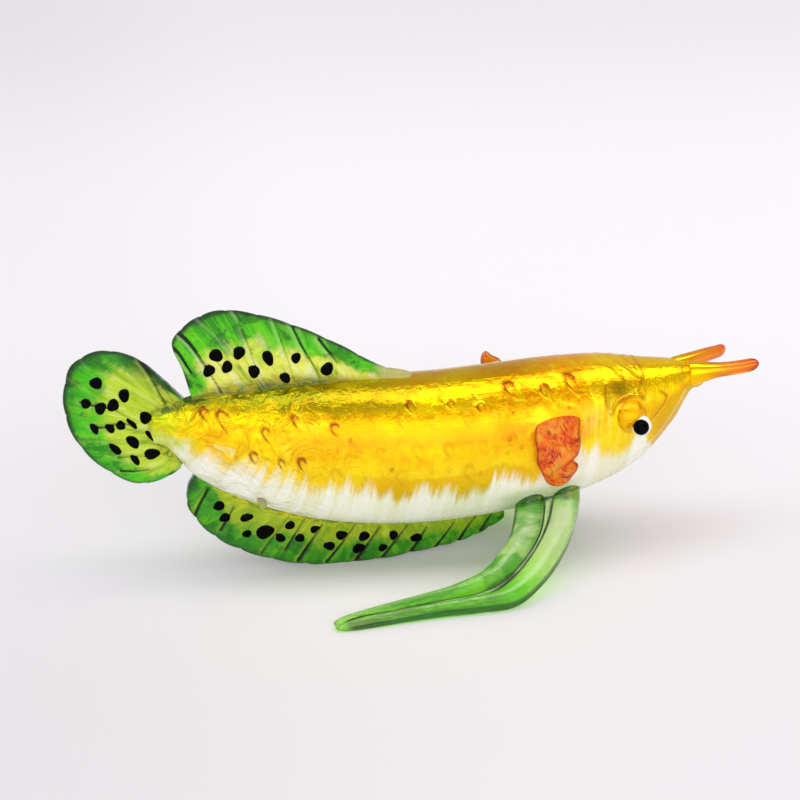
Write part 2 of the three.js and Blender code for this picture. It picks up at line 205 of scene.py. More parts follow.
class Finish:
    """A material in the making."""

    def __init__(self, name):
        self.material = bpy.data.materials.new(name)
        self.material.use_nodes = True
        self.tree = self.material.node_tree
        self.tree.nodes.clear()

    def node(self, kind, settings, sockets, out=0):
        """Adds any node: its settings first, then the values or links of its sockets."""
        made = self.tree.nodes.new("ShaderNode" + kind)
        for name, setting in settings.items():
            if name == "stops":
                lay_stops(made.color_ramp, setting)
            else:
                setattr(made, name, setting)
        for key, term in sockets.items():
            if isinstance(term, Value):
                self.tree.links.new(term.socket, made.inputs[key])
            else:
                made.inputs[key].default_value = term
        return Value(self, made.outputs[out]) if len(made.outputs) else None

    def maths(self, operation, *terms):
        return self.node("Math", {"operation": operation}, dict(enumerate(terms)))

    def read(self, label):
        """A number that the mesh keeps at each of its points."""
        return self.node("Attribute", {"attribute_name": label}, {}, "Fac")

    def place(self):
        """The place in the object's own space, in metres."""
        return self.node("TexCoord", {}, {}, "Object")

    def part(self, axis):
        """One part of the place, in metres."""
        return self.node("SeparateXYZ", {}, {"Vector": self.place()}, axis)

    def stretched(self, x, y, z):
        """The place, with each of its axes multiplied."""
        return self.node("VectorMath", {"operation": "MULTIPLY"}, {0: self.place(), 1: (x, y, z)})

    def noise(self, vector, scale, detail=3.0, roughness=0.5, distortion=0.0):
        sockets = {"Vector": vector, "Scale": scale, "Detail": detail, "Roughness": roughness,
                   "Distortion": distortion}
        return self.node("TexNoise", {}, sockets)

    def smooth(self, value, low, high):
        """0 below low, 1 above high, and a smooth step between them."""
        sockets = {"Value": value, "From Min": low, "From Max": high}
        return self.node("MapRange", {"interpolation_type": "SMOOTHSTEP"}, sockets)

    def mix(self, share, base, other):
        return self.node("Mix", {"data_type": "RGBA"}, {0: share, 6: base, 7: other}, 2)

    def coats(self, colour, *coats):
        """Lays coats over a colour, each given by its share and colour code."""
        for share, code in coats:
            colour = self.mix(share, colour, tint(code))
        return colour

    def ramp(self, share, *stops):
        """A colour that runs through stops, each given by its place and colour code."""
        made = [(place, tint(code)) for place, code in stops]
        return self.node("ValToRGB", {"stops": made}, {"Fac": share})

    def bump(self, height, strength, distance):
        sockets = {"Height": height, "Strength": strength, "Distance": distance}
        return self.node("Bump", {}, sockets)

    def principled(self, **sockets):
        named = {key.replace("_", " "): term for key, term in sockets.items()}
        return self.node("BsdfPrincipled", {}, named)

    def done(self, shader, lets_through=None):
        """Ends the material. Glass lets rays from lamps straight through, tinted by a colour."""
        if lets_through:
            through = self.node("BsdfTransparent", {}, {"Color": lets_through})
            lamp_ray = self.node("LightPath", {}, {}, "Is Shadow Ray")
            shader = self.node("MixShader", {}, {0: lamp_ray, 1: shader, 2: through})
        self.node("OutputMaterial", {}, {"Surface": shader})
        return self.material


def lay_stops(ramp, stops):
    """Sets a ramp's stops, each a place and a colour."""
    while len(ramp.elements) < len(stops):
        ramp.elements.new(1.0)
    for element, (place, tint) in zip(ramp.elements, stops):
        element.position = place
        element.color = tint


def tint(code):
    """The linear colour of a code such as #ffcc00."""
    shares = [int(code[k:k + 2], 16) / 255 for k in (1, 3, 5)]
    return (*[s / 12.92 if s <= 0.04045 else ((s + 0.055) / 1.055) ** 2.4 for s in shares], 1.0)


# The crescents stand in rows along each flank, as in the CAD model. Each is drawn as a small
# horseshoe. Bolder ones and air bubbles lie where the picture shows them, given in its pixels.
MARK_ROWS = [(52, -27.0, 30.0), (33, -29.5, 17.0), (12, -26.7, 17.5), (-8, -29.5, 15.5)]
MARK_PITCH = 6.1
MARK_WANDER = 0.5
MARK_CLEAR_OF_FIN = 7.5 * MM
MARK_HALF = (1.15 * MM, 1.7 * MM)
MARK_LEAN = 25
MARK_LINE = 0.32 * MM
MARK_LIFT = 0.15 * MM
MARK_REACH = 4 * MM
PIXELS_PER_MM = 5.3
BOLD_MARKS = [
    (226, 424, 7, 12), (268, 437, 5, 8), (298, 425, 4, 9), (336, 431, 5, 6), (412, 409, 5, 8),
    (452, 406, 5, 6), (482, 409, 5, 6), (512, 391, 6, 10), (547, 393, 6, 9), (574, 386, 6, 14),
    (304, 467, 5, 8), (206, 416, 5, 7), (255, 459, 5, 6), (283, 466, 4, 6),
]
BUBBLES = [(510, 439), (522, 447), (507, 453), (480, 473), (452, 405), (514, 414), (569, 408),
           (449, 470), (350, 440), (392, 470), (236, 458)]
BUBBLE_RADIUS = 0.3 * MM
BUBBLE_LIFT = 0.1 * MM
PECTORAL_SPINES = {
    -1: [(25.4, -9.4, 32.0), (25.1, -11.8, 29.8), (24.95, -13.0, 26.2), (25.3, -13.1, 22.6),
         (25.5, -12.6, 19.6)],
    1: [(25.8, 8.8, 24.6), (23.2, 11.4, 27.4), (20.0, 13.0, 30.3), (17.7, 13.9, 33.1),
        (16.4, 14.3, 35.7)],
}

# Lines on the head, in pixels, and how far each stands out or sinks in: the collar where the
# snout glass was joined on, brown swirls behind it, the ridge over the eye, the mouth, the jaw
HEAD_LINES = [
    ([(632, 356), (636, 362), (640, 370), (641, 379), (637, 391)], 0.4, 0.12, 0.5),
    ([(610, 358), (620, 366), (630, 372), (639, 377)], 0.22, 0.1, 0.45),
    ([(621, 357), (629, 363), (636, 370)], 0.22, 0.1, 0.45),
    ([(603, 366), (613, 371), (623, 378), (634, 384)], 0.2, 0.08, 0.35),
    ([(612, 413), (616, 403), (626, 397.5), (638, 396), (643, 400)], 0.3, 0.25, 0.75),
    ([(667, 397), (664.5, 404), (658, 413), (651, 421)], 0.28, -0.25, 0.6),
    ([(661, 391), (664, 393), (667.5, 396)], 0.2, -0.2, 0.7),
    ([(606, 384), (604, 396), (606, 406), (611, 414)], 0.3, 0.1, 0.5),
    ([(636, 391), (628, 397), (619, 402), (612, 410)], 0.3, 0.12, 0.6),
]
HEAD_LINES_FROM = 24 * MM
JAW_LINE = [(685, 390), (680, 400), (672, 413), (661, 429), (650, 441), (630, 456), (604, 476)]
JAW_WIDTH = 0.22
JAW_LIFT = 0.15 * MM
DARK_PATCHES = [(618, 389, 12, 12, 0.95), (609, 398, 6, 13, 0.65), (630, 383, 8, 7, 0.5)]
SMEARS = [(531, 503, 8, 5), (541, 499, 9, 5), (553, 496, 9, 4), (564, 492, 9, 4), (574, 488, 6, 3.5)]
SMEAR_LIFT = 0.35 * MM


def seeded_draws(seed):
    """Draws from 0 to 1 that come out alike each time."""
    while True:
        seed = seed * 16807 % 2147483647
        yield seed / 2147483647


def target_of(form):
    """A mesh of (vertices, faces) as a target for lines of sight."""
    vertices, faces = form
    return BVHTree.FromPolygons([Vector(v) for v in vertices], faces)


def bare_body():
    """The body without its crescents and lines, as a target for lines of sight."""
    x = np.linspace(BODY_STATIONS[0, 0], BODY_STATIONS[-1, 0], 200)
    angle = ring_angles(160)
    axis, half_height, half_width = body_at(x)[:, :, None]
    y = half_width * np.cos(angle)
    z = axis + half_height * np.sin(angle)
    return target_of(closed_loft(np.stack([np.broadcast_to(x[:, None], y.shape), y, z], axis=-1)))


def on_flank(target, pixel):
    """The x and rise where the line of sight through a pixel meets the right flank."""
    spot = target.ray_cast(CAMERA_PLACE, sight_through(pixel))[0]
    axis, half_height, half_width = body_at(spot.x)[:, 0]
    return spot.x, math.degrees(math.atan2((spot.z - axis) / half_height, -spot.y / half_width))


def mark_places(target):
    """The side, x, rise, half width, half height and boldness of each crescent."""
    draws = seeded_draws(7)
    for side in (-1, 1):
        spine = np.array(PECTORAL_SPINES[side]) * MM
        for rise, start, stop in MARK_ROWS:
            for step in range(int((stop - start) / MARK_PITCH + 1e-6) + 1):
                x = start + step * MARK_PITCH + MARK_WANDER * (2 * next(draws) - 1)
                turned = rise + 2 * MARK_WANDER * (2 * next(draws) - 1)
                spot = over_flank(np.array([x * MM]), np.array([turned]), side)[0]
                if np.linalg.norm(spine - spot, axis=1).min() > MARK_CLEAR_OF_FIN:
                    size = 0.7 + 0.5 * ((x * 7.3 + turned) % 1)
                    wide, tall = MARK_HALF[0] * size, MARK_HALF[1] * size
                    bold = 0.12 + 0.3 * ((x * 3.7) % 1)
                    yield side, x * MM + wide, turned + 4, wide, tall, bold
    for u, v, wide, tall in BOLD_MARKS:
        x, rise = on_flank(target, (u, v))
        for side in (-1, 1):
            yield side, x, rise, wide / PIXELS_PER_MM * MM, tall / PIXELS_PER_MM * MM, 1.0


def line_distance(x, rise, path):
    """How far each point of the body's skin lies from a path of x and rise, in metres."""
    shares = np.linspace(0, len(path) - 1, 60)
    _, half_height, half_width = body_at(x)
    girth = np.radians(1) * (half_height + half_width) / 2
    best = np.full(x.shape, 1.0)
    for knot_x, knot_rise in smooth_line(np.arange(len(path)), path, shares):
        best = np.minimum(best, np.hypot(x - knot_x, (rise - knot_rise) * girth))
    return best


def body_skin():
    """Rings of the body with its crescents and lines, and numbers that its paint follows."""
    target = bare_body()
    cap = np.linspace(0, math.pi / 2, 9)[1:]
    x_rear, x_snout = BODY_STATIONS[0, 0], BODY_STATIONS[-1, 0]
    x = np.concatenate([x_rear - TAIL_CAP * np.sin(cap[::-1]),
                        np.linspace(x_rear, x_snout, BODY_RINGS),
                        x_snout + SNOUT_CAP * np.sin(cap)])
    narrow = np.concatenate([np.cos(cap[::-1]), np.ones(BODY_RINGS), np.cos(cap)])
    narrow = np.maximum(narrow, 0.02)[:, None]
    angle = ring_angles(BODY_SIDES)
    axis, half_height, half_width = body_at(x)[:, :, None]
    degrees = np.degrees(angle)
    rise = np.where(degrees < 90, degrees, np.where(degrees < 270, 180 - degrees, degrees - 360))
    side = np.where(np.cos(angle) > 0, 1, -1)
    grid_x = np.repeat(x, BODY_SIDES).reshape(len(x), -1)
    grid_rise = np.tile(rise, (len(x), 1))
    grid_side = np.tile(side, (len(x), 1))
    girth = np.radians(1) * (half_height + half_width) / 2 + 0 * grid_x
    lift = np.zeros_like(grid_x)
    mark = np.zeros_like(grid_x)
    shade = np.zeros_like(grid_x)
    lean = math.radians(MARK_LEAN)

    def near_patch(u, v, wide, tall):
        """1 in the middle of a patch of the picture, and less away from it."""
        patch_x, patch_rise = on_flank(target, (u, v))
        out = np.hypot((grid_x - patch_x) * PIXELS_PER_MM / wide / MM,
                       (grid_rise - patch_rise) * girth * PIXELS_PER_MM / tall / MM)
        return np.exp(-out ** 2)

    def near_line(pixels, width):
        """1 on a line of the picture, and less away from it, over the front of the body."""
        path = [on_flank(target, pixel) for pixel in pixels]
        away = line_distance(grid_x[front].ravel(), grid_rise[front].ravel(), path)
        return np.exp(-(away / (width * MM)) ** 2).reshape(-1, BODY_SIDES)

    for mark_side, mark_x, mark_rise, wide, tall, bold in mark_places(target):
        near = (abs(grid_x - mark_x) < MARK_REACH) & (grid_side == mark_side)
        near &= abs(grid_rise - mark_rise) * girth < MARK_REACH
        along = grid_x[near] - mark_x
        up = (grid_rise[near] - mark_rise) * girth[near]
        across = along * math.cos(lean) + up * math.sin(lean)
        over = up * math.cos(lean) - along * math.sin(lean)
        taper = wide * (0.65 + 0.35 * np.clip(over / tall, -1, 1))
        away = np.hypot(across / taper, over / tall)
        line = np.exp(-((away - 1) * min(wide, tall) / MARK_LINE) ** 2)
        line = line * np.clip(0.75 + over / tall - 0.4 * across / taper, 0.05, 1)
        dome = np.clip(1.3 - away, 0, 1)
        lift[near] = np.maximum(lift[near], bold * MARK_LIFT * (line + 0.7 * dome))
        mark[near] = np.maximum(mark[near], bold * line)
    for pixel in BUBBLES:
        bubble_x, bubble_rise = on_flank(target, pixel)
        out = np.hypot(grid_x - bubble_x, (grid_rise - bubble_rise) * girth) / BUBBLE_RADIUS
        mark = np.maximum(mark, np.exp(-((out - 1) / 0.35) ** 2) * 0.9)
        lift += BUBBLE_LIFT * np.exp(-out ** 2)
    front = x > HEAD_LINES_FROM
    for pixels, width, height, dark in HEAD_LINES:
        line = near_line(pixels, width)
        lift[front] += height * MM * line
        mark[front] = np.maximum(mark[front], dark * line)
    for *patch, dark in DARK_PATCHES:
        shade = np.maximum(shade, dark * near_patch(*patch))
    jaw = np.zeros_like(grid_x)
    jaw[front] = near_line(JAW_LINE, JAW_WIDTH)
    smear = np.zeros_like(grid_x)
    for patch in SMEARS:
        smear = np.maximum(smear, near_patch(*patch))
    lift = lift + JAW_LIFT * jaw + SMEAR_LIFT * smear
    y = (half_width + lift) * np.cos(angle) * narrow
    z = axis + (half_height + lift) * np.sin(angle) * narrow
    rings = np.stack([grid_x, y, z], axis=-1)
    border = smooth_line(WHITE_BORDER[:, 0], WHITE_BORDER[:, 1], x / MM)
    shown = {"rise": grid_rise, "belly": grid_rise - border, "mark": mark, "shade": shade,
             "jaw": jaw, "smear": smear}
    return rings, {label: np.append(held.ravel(), (0.0, 0.0)) for label, held in shown.items()}


# The border between gold and white, as x and rise
WHITE_BORDER = np.array([
    (-49.0, -12), (-45.0, -15), (-41.0, -20), (-36.0, -20), (-31.0, -18), (-26.8, -17),
    (-17.7, -14), (-8.5, -16), (1.0, -18), (10.5, -16), (14.3, -13), (18.3, -18), (22.3, -24),
    (26.0, -17), (30.0, -5), (34.2, -8), (37.4, -16), (38.2, -17), (39.2, -9), (43.3, -12),
    (44.6, -30), (46.5, -60), (54.5, -85),
])


def painted_glass():
    """Gold and pearly white paint, brushed into each other, under a clear coat of glass."""
    paint = Finish("gold_and_white_glass")
    smooth = paint.smooth
    rise, belly, mark = (paint.read(label) for label in ("rise", "belly", "mark"))
    along = paint.part("X") * 1000
    up = paint.part("Z") * 1000
    rear = smooth(along, -10, -32)
    leant = paint.node("CombineXYZ", {}, {"X": along - up * (0.12 + rear * 0.4), "Z": up * 0.07})
    coarse = paint.noise(leant, 0.36, 3, 0.55)
    fine = paint.noise(leant, 1.1, 3, 0.6)
    cloudy = paint.noise(paint.place(), 90, 4, 0.55)
    mottled = paint.noise(paint.place(), 330, 5, 0.62, 0.6)
    speckled = paint.noise(paint.stretched(1, 1, 0.35), 1500, 4, 0.65)
    crinkle = paint.noise(paint.place(), 180, 4, 0.5, 1.4)
    brushed = paint.noise(paint.stretched(0.1, 1, 1), 900, 3, 0.5)
    fray = belly + (coarse - 0.5) * 46 + (fine - 0.5) * 26 + (cloudy - 0.5) * 10
    white = smooth(fray, 7 + rear * 16, -8)
    flushed = smooth(along, 8, 18) * smooth(along, 37, 30) * smooth(rise, -8, 22)
    cheek = smooth(along, 27, 33) * smooth(along, 44, 38) * smooth(rise, 38, 20)
    # Painted shade: this mask gives a darker gold strip just above the white, standing in for the dim
    # table that the flank reflects
    low = smooth(belly + (fine - 0.5) * 6, 16, 12) * smooth(along, -20, -5)
    middle = smooth(rise, 15, 24) * smooth(rise, 48, 42) * smooth(along, -26, -14)
    # Painted shade: this mask darkens the rear part of the highlight band along the upper flank
    dimmed_band = smooth(along, 6, -8) * smooth(rise, 46, 54) * smooth(rise, 76, 68)
    # Painted shade: this mask darkens the upper back toward the tail to an olive gold
    olive = smooth(along, 2, -8) * smooth(rise + (cloudy - 0.5) * 50, 38, 62)
    moss = smooth(along, -10, -28) * smooth(rise + (mottled - 0.5) * 90, 48, 74)
    crease = smooth(abs(crinkle - 0.5), 0.03, 0.004) * smooth(along, 2, -14)
    glint = smooth(crinkle, 0.6, 0.68) * smooth(abs(rise - 4), 7, 2) * rear
    gold = paint.coats(
        tint("#ffdc00"),
        (smooth(cloudy, 0.35, 0.65), "#f7be00"),
        (smooth(mottled, 0.5, 0.68) * 0.55, "#f0ac00"),
        (smooth(mottled, 0.45, 0.32) * 0.5, "#ffec2e"),
        (flushed * 0.75 * smooth(mottled, 0.25, 0.6), "#ee8c00"),
        (cheek * smooth(fine, 0.45, 0.65) * 0.45, "#fff07a"),
        # Painted light: a lighter yellow low on the flank, which faces down and gets less lamp light
        (smooth(rise, 14, 0) * 0.4, "#ffea1c"),
        # Painted shade: the darker gold strip just above the white
        (low * 0.45 * smooth(along, 24, 18), "#d89a00"),
        (middle * 0.5 * smooth(along, 22, 14), "#f4a000"),
        (smooth(along, 42, 46.5) * smooth(rise, 28, 12) * 0.6, "#cf8a00"),
        # Painted shade: the top of the back, the rear of the highlight band and the upper rear are
        # darkened, where the gold reflects the dim surroundings behind the table
        (smooth(rise, 58, 80) * 0.3, "#c99a04"),
        (dimmed_band * 0.75, "#ae8c02"),
        (olive * 0.5, "#a8a008"),
        (moss * 0.6, "#6a8a10"),
        (smooth(along, 47, 54) * smooth(mottled, 0.45, 0.65) * 0.35, "#f59a00"),
        (crease * 0.3, "#b87c00"),
        (glint * 0.5, "#fff4b8"),
    )
    throat = smooth(along, 12, 18) * smooth(along, 34, 26) * smooth(rise, -22, -34)
    pearl = paint.coats(
        tint("#f6f5e6"),
        (smooth(coarse, 0.35, 0.7), "#e9eac6"),
        (smooth(along, 30, 37) * smooth(rise, -50, -64) * 0.75, "#dcd3a8"),
        (throat * 0.7, "#b9cd92"),
    )
    stock = smooth(along + (mottled - 0.5) * 16, -41.5, -48.5)
    neck = smooth(along, -37, -43) * smooth(rise + (mottled - 0.5) * 40, 52, 72)
    drawn = 0.35 + smooth(mottled, 0.4, 0.56) * 0.55 + smooth(mark, 0.6, 0.9) * 0.35
    colour = paint.coats(
        paint.mix(white, gold, pearl),
        (stock * 0.9, "#c4d414"),
        (neck * 0.9, "#0d3c0a"),
        (paint.read("shade") * smooth(coarse, 0.2, 0.45) * 0.8, "#6e5806"),
        (mark * drawn, "#a4560a"),
        (paint.read("jaw") * 0.5, "#fff3c4"),
    )
    smear = smooth(paint.read("smear") + (mottled - 0.5) * 0.9, 0.25, 0.4)
    smeared = paint.coats(tint("#1c6e0c"), (smooth(mottled, 0.5, 0.66), "#b9c81c"))
    polished = smooth(rise, 18, 42)
    dull = 1 - smooth(along, 16, 30) * smooth(rise, 66, 78) * 0.6
    brushed = brushed * smooth(rise, 44, 54) * smooth(along, -8, 10)
    height = speckled * 0.5 + fine * 0.7 + mottled * 1.2 + crinkle * (rear * 11) + brushed * 0.5
    return paint.done(paint.principled(
        Base_Color=paint.mix(smear, colour, smeared),
        Metallic=0.05 + (1 - white) * (0.3 + polished * 0.57) * dull,
        Roughness=0.22 + speckled * 0.1 + polished * (rear * 0.13 - 0.15),
        Specular_IOR_Level=0.1, Coat_Weight=0.1, Coat_Roughness=0.02, Coat_IOR=1.5,
        Normal=paint.bump(height, 0.4, 0.0004),
    ))


body_rings, body_points = body_skin()
add_piece("body", closed_loft(body_rings), painted_glass(), "gold_glass",
          ("trunk", "head", "tail_base"), body_points)

# A stub of clear glass, left on the right of the belly where a handling rod was broken off
STUB_X = -29.9 * MM
STUB_RISE = -49
STUB_HEIGHT = 1.6 * MM
STUB_SUNK = 1.0 * MM
STUB_RADIUS = 1.1 * MM
STUB_STEPS = 16
STUB_SIDES = 24
GLASS_IOR = 1.47


def tube(path, across, up, half_across, half_up, sides):
    """Rings of elliptic section along a path. Each direction is one for all rings or one a ring."""
    angle = ring_angles(sides)
    across, up = (np.broadcast_to(way, path.shape)[:, None, :] for way in (across, up))
    wide = across * (half_across[:, None] * np.cos(angle))[:, :, None]
    tall = up * (half_up[:, None] * np.sin(angle))[:, :, None]
    return path[:, None, :] + wide + tall


def past_tip(shares, tip):
    """0 along a rod and up to 1 over the last share of it, where its tip is rounded."""
    return ((shares - 1 + tip) / tip).clip(0)


def clear_glass():
    """Pale glass that lets lamps through to what is behind it."""
    glass = Finish("stub_glass")
    pale = tint("#cdc99c")
    return glass.done(glass.principled(Base_Color=pale, Roughness=0.02, IOR=GLASS_IOR,
                                       Transmission_Weight=1.0), pale)


stub_foot, stub_tip = (over_flank(np.array([STUB_X]), np.array([STUB_RISE]), -1, lift)[0]
                       for lift in (-STUB_SUNK, STUB_HEIGHT))
stub_shares = np.linspace(0, 1, STUB_STEPS)
stub_path = stub_foot + (stub_tip - stub_foot) * stub_shares[:, None]
stub_along = (stub_tip - stub_foot) / np.linalg.norm(stub_tip - stub_foot)
stub_across = np.cross(stub_along, (1.0, 0.0, 0.0))
stub_round = np.sqrt(np.clip(1 - past_tip(stub_shares, 0.2) ** 2, 0.05, 1))
stub_size = STUB_RADIUS * (1 - 0.4 * stub_shares) * stub_round
stub_rings = tube(stub_path, stub_across, (1.0, 0.0, 0.0), stub_size, stub_size, STUB_SIDES)
add_piece("belly_stub", closed_loft(stub_rings), clear_glass(), "gold_glass")

# The eyes
# A mound of yellow glass is melted on each cheek, with a white bead pressed into it and a
# drop of black enamel on the bead as the pupil.
EYE_MOUND = Vector((39.9, 7.4, 30.4)) * MM
EYE_MOUND_RADIUS = 3.4 * MM
EYE_BEAD = Vector((41.7, 9.9, 29.3)) * MM
EYE_BEAD_RADIUS = 2.0 * MM
EYE_LOOK = Vector((-0.27, 0.93, 0.22)).normalized()
PUPIL_RADIUS = 1.5 * MM
PUPIL_SHIFT = 1.45 * MM


def ball(centre, radius, steps=40, around=64):
    """Rings of a ball."""
    turn = np.linspace(0.02, math.pi - 0.02, steps)
    path = np.array(centre) + np.outer(-np.cos(turn) * radius, (1.0, 0.0, 0.0))
    size = np.sin(turn) * radius
    return tube(path, (0.0, 1.0, 0.0), (0.0, 0.0, 1.0), size, size, around)


def melted_glass(name, base, streak, roughness, weight, coat=1.0, metallic=0.0):
    """Opaque glass with faint streaks where it was melted together."""
    glass = Finish(name)
    streaks = glass.noise(glass.place(), 500, 3, 0.5, 1.5)
    colour = glass.coats(tint(base), (glass.smooth(streaks, 0.45, 0.75) * weight, streak))
    return glass.done(glass.principled(
        Base_Color=colour, Roughness=roughness, Metallic=metallic, Specular_IOR_Level=0.2 * coat,
        Coat_Weight=coat, Coat_Roughness=0.02))


mound_glass = melted_glass("yellow_eye_glass", "#f4ba00", "#b86200", 0.3, 1.0, 0.15, 0.3)
bead_glass = melted_glass("white_bead_glass", "#f7f5ef", "#e4e0d2", 0.12, 0.6)
black_enamel = melted_glass("black_enamel", "#020203", "#070608", 0.12, 1.0, 0.06)
for word, side in (("right", -1), ("left", 1)):
    turned = Vector((1, side, 1))
    bead_place = EYE_BEAD * turned
    pupil_place = bead_place + EYE_LOOK * turned * PUPIL_SHIFT
    for part, made_of, place, radius, finish, slot in (
        ("eye_mound", "glass", EYE_MOUND * turned, EYE_MOUND_RADIUS, mound_glass, "gold_glass"),
        ("eye_bead", "glass", bead_place, EYE_BEAD_RADIUS, bead_glass, "white_glass"),
        ("pupil", "enamel", pupil_place, PUPIL_RADIUS, black_enamel, "black_enamel"),
    ):
        node = f"{part}_{word}"
        add_piece(f"{node}_{made_of}", closed_loft(ball(place, radius)), finish, slot, (node,))

# The barbels
# Two rods of amber glass drawn out of the snout, deeper orange toward their rounded tips.
BARBELS = {
    "right": dict(
        spine=[(53.0, -1.4, 35.3), (55.8, -2.2, 35.9), (58.4, -3.1, 36.5), (60.6, -4.0, 37.05),
               (62.7, -5.0, 37.75), (65.4, -6.3, 38.75)],
        across=[2.3, 1.95, 1.5, 1.35, 1.3, 1.25],
        up=[2.6, 2.05, 1.5, 1.35, 1.3, 1.25],
    ),
    "left": dict(
        spine=[(50.6, 1.0, 36.4), (52.4, 1.4, 36.6), (55.1, 2.4, 36.7), (58.0, 3.7, 36.7),
               (60.4, 4.9, 36.6), (63.0, 6.3, 36.6)],
        across=[1.5, 1.5, 1.45, 1.4, 1.3, 1.2],
        up=[1.5, 1.5, 1.45, 1.4, 1.3, 1.2],
    ),
}
BARBEL_TIP_SHARE = 0.12
BARBEL_STEPS = 90
BARBEL_SIDES = 36


def through_points(points, shares):
    """Points on a smooth curve through the given ones, at shares of its knots from 0 to 1."""
    knots = np.array(points, float)
    knots = np.vstack([2 * knots[0] - knots[1], knots, 2 * knots[-1] - knots[-2]])
    at = np.asarray(shares) * (len(points) - 1)
    k = np.clip(at.astype(int), 0, len(points) - 2)
    p = (at - k)[:, None]
    p0, p1, p2, p3 = (knots[k + step] for step in range(4))
    spans = ((p0, p1), (p1, p2), (p2, p3))
    d0, d1, d2 = (np.sqrt(np.linalg.norm(b - a, axis=1))[:, None] for a, b in spans)
    m1 = ((p1 - p0) / d0 - (p2 - p0) / (d0 + d1) + (p2 - p1) / d1) * d1
    m2 = ((p2 - p1) / d1 - (p3 - p1) / (d1 + d2) + (p3 - p2) / d2) * d1
    rest = (2 * p1 - 2 * p2 + m1 + m2) * p ** 3 + (-3 * p1 + 3 * p2 - 2 * m1 - m2) * p ** 2
    return p1 + m1 * p + rest


def sizes_along(sizes, shares):
    """Sizes in millimetres that are spread evenly along a rod, at shares of its length."""
    return smooth_line(np.linspace(0, 1, len(sizes)), np.array(sizes) * MM, shares)[:, 0]


def amber_glass():
    """Amber glass, golden where it leaves the snout and deep orange at the tip."""
    glass = Finish("amber_glass")
    share = glass.read("share")
    streaks = glass.noise(glass.stretched(0.3, 1, 1), 700, 3, 0.5, 1.0)
    colour = glass.ramp(share + (streaks - 0.5) * 0.4, (0.1, "#ffcc00"), (0.4, "#ffb000"),
                        (0.75, "#ff9600"), (1.0, "#f46c00"))
    clear = glass.principled(Base_Color=colour, Roughness=0.03, IOR=GLASS_IOR,
                             Specular_IOR_Level=0.15, Transmission_Weight=1.0)
    golden = glass.principled(Base_Color=colour, Roughness=0.1, Metallic=0.85,
                              Specular_IOR_Level=0.1, Coat_Weight=0.1, Coat_Roughness=0.02)
    depth = glass.smooth(share + (streaks - 0.5) * 0.3, 0.15, 0.6) * 0.7
    shader = glass.node("MixShader", {}, {0: depth, 1: golden, 2: clear})
    return glass.done(shader, tint("#ffb84d"))


amber = amber_glass()
for word, rod in BARBELS.items():
    shares = np.linspace(0, 1, BARBEL_STEPS)
    path = through_points(np.array(rod["spine"]) * MM, shares)
    rounded = np.sqrt(np.maximum(0.02, 1 - past_tip(shares, BARBEL_TIP_SHARE) ** 2))
    wide, tall = (sizes_along(rod[key], shares) * rounded for key in ("across", "up"))
    rings = tube(path, (0.0, 1.0, 0.0), (0.0, 0.0, 1.0), wide, tall, BARBEL_SIDES)
    points = {"share": np.append(np.repeat(shares, BARBEL_SIDES), (0.0, 1.0))}
    add_piece(f"barbel_{word}_glass", closed_loft(rings), amber, "amber_glass",
              (f"barbel_{word}",), points)

# The pectoral fins
# Short petals of swirled orange glass, pressed flat and melted onto the flanks at their roots.
PECTORALS = {
    "right": dict(spine=PECTORAL_SPINES[-1], across=(1, 0, 0.12),
                  half_widths=[4.3, 4.35, 4.1, 3.4, 2.0]),
    "left": dict(spine=PECTORAL_SPINES[1], across=(0.76, 0.1, 0.64),
                 half_widths=[3.6, 4.2, 3.2, 2.0, 1.1]),
}
PECTORAL_HALF_THICK = 1.0 * MM
PECTORAL_ROUND = 0.1
PECTORAL_NOTCH = 0.9 * MM
PECTORAL_NOTCH_AT = 0.62
PECTORAL_NOTCH_WIDTH = 0.045
PECTORAL_WAVE = 0.15 * MM
PECTORAL_STEPS = 80
PECTORAL_SIDES = 72


def see_through(glass, colour, roughness, shine, clear, relief, tinge):
    """Ends a material as glass, and gives how clear it is and the tinge of its shadow."""
    return glass.done(glass.principled(
        Base_Color=colour, Roughness=roughness, IOR=GLASS_IOR, Specular_IOR_Level=shine,
        Transmission_Weight=clear, Normal=relief), tint(tinge))


def orange_glass():
    """Orange and red glass stirred together, with brown hairlines."""
    glass = Finish("orange_glass")
    swirl = glass.noise(glass.stretched(1.4, 1, 1), 120, 4, 0.6, 3.0)
    hair = glass.noise(glass.stretched(1.6, 1, 1.2), 150, 3, 0.5, 3.5)
    stirred = glass.ramp(swirl, (0.32, "#d03400"), (0.43, "#f06c00"), (0.53, "#ff9c00"),
                         (0.64, "#ffc42a"))
    colour = glass.coats(
        stirred,
        (glass.smooth(abs(hair - 0.5), 0.02, 0.004) * 0.85, "#6e1c02"),
        (glass.smooth(abs(hair - 0.58), 0.02, 0.004) * 0.6, "#ffd070"),
        # Painted shade: darker red-brown along the petal's two thin edges
        (glass.smooth(abs(glass.read("edge")), 0.86, 0.98) * 0.7, "#8a2400"),
    )
    relief = glass.bump(swirl * 2 + hair, 0.6, 0.0008)
    return see_through(glass, colour, 0.06, 0.06, 0.5, relief, "#ff9a55")


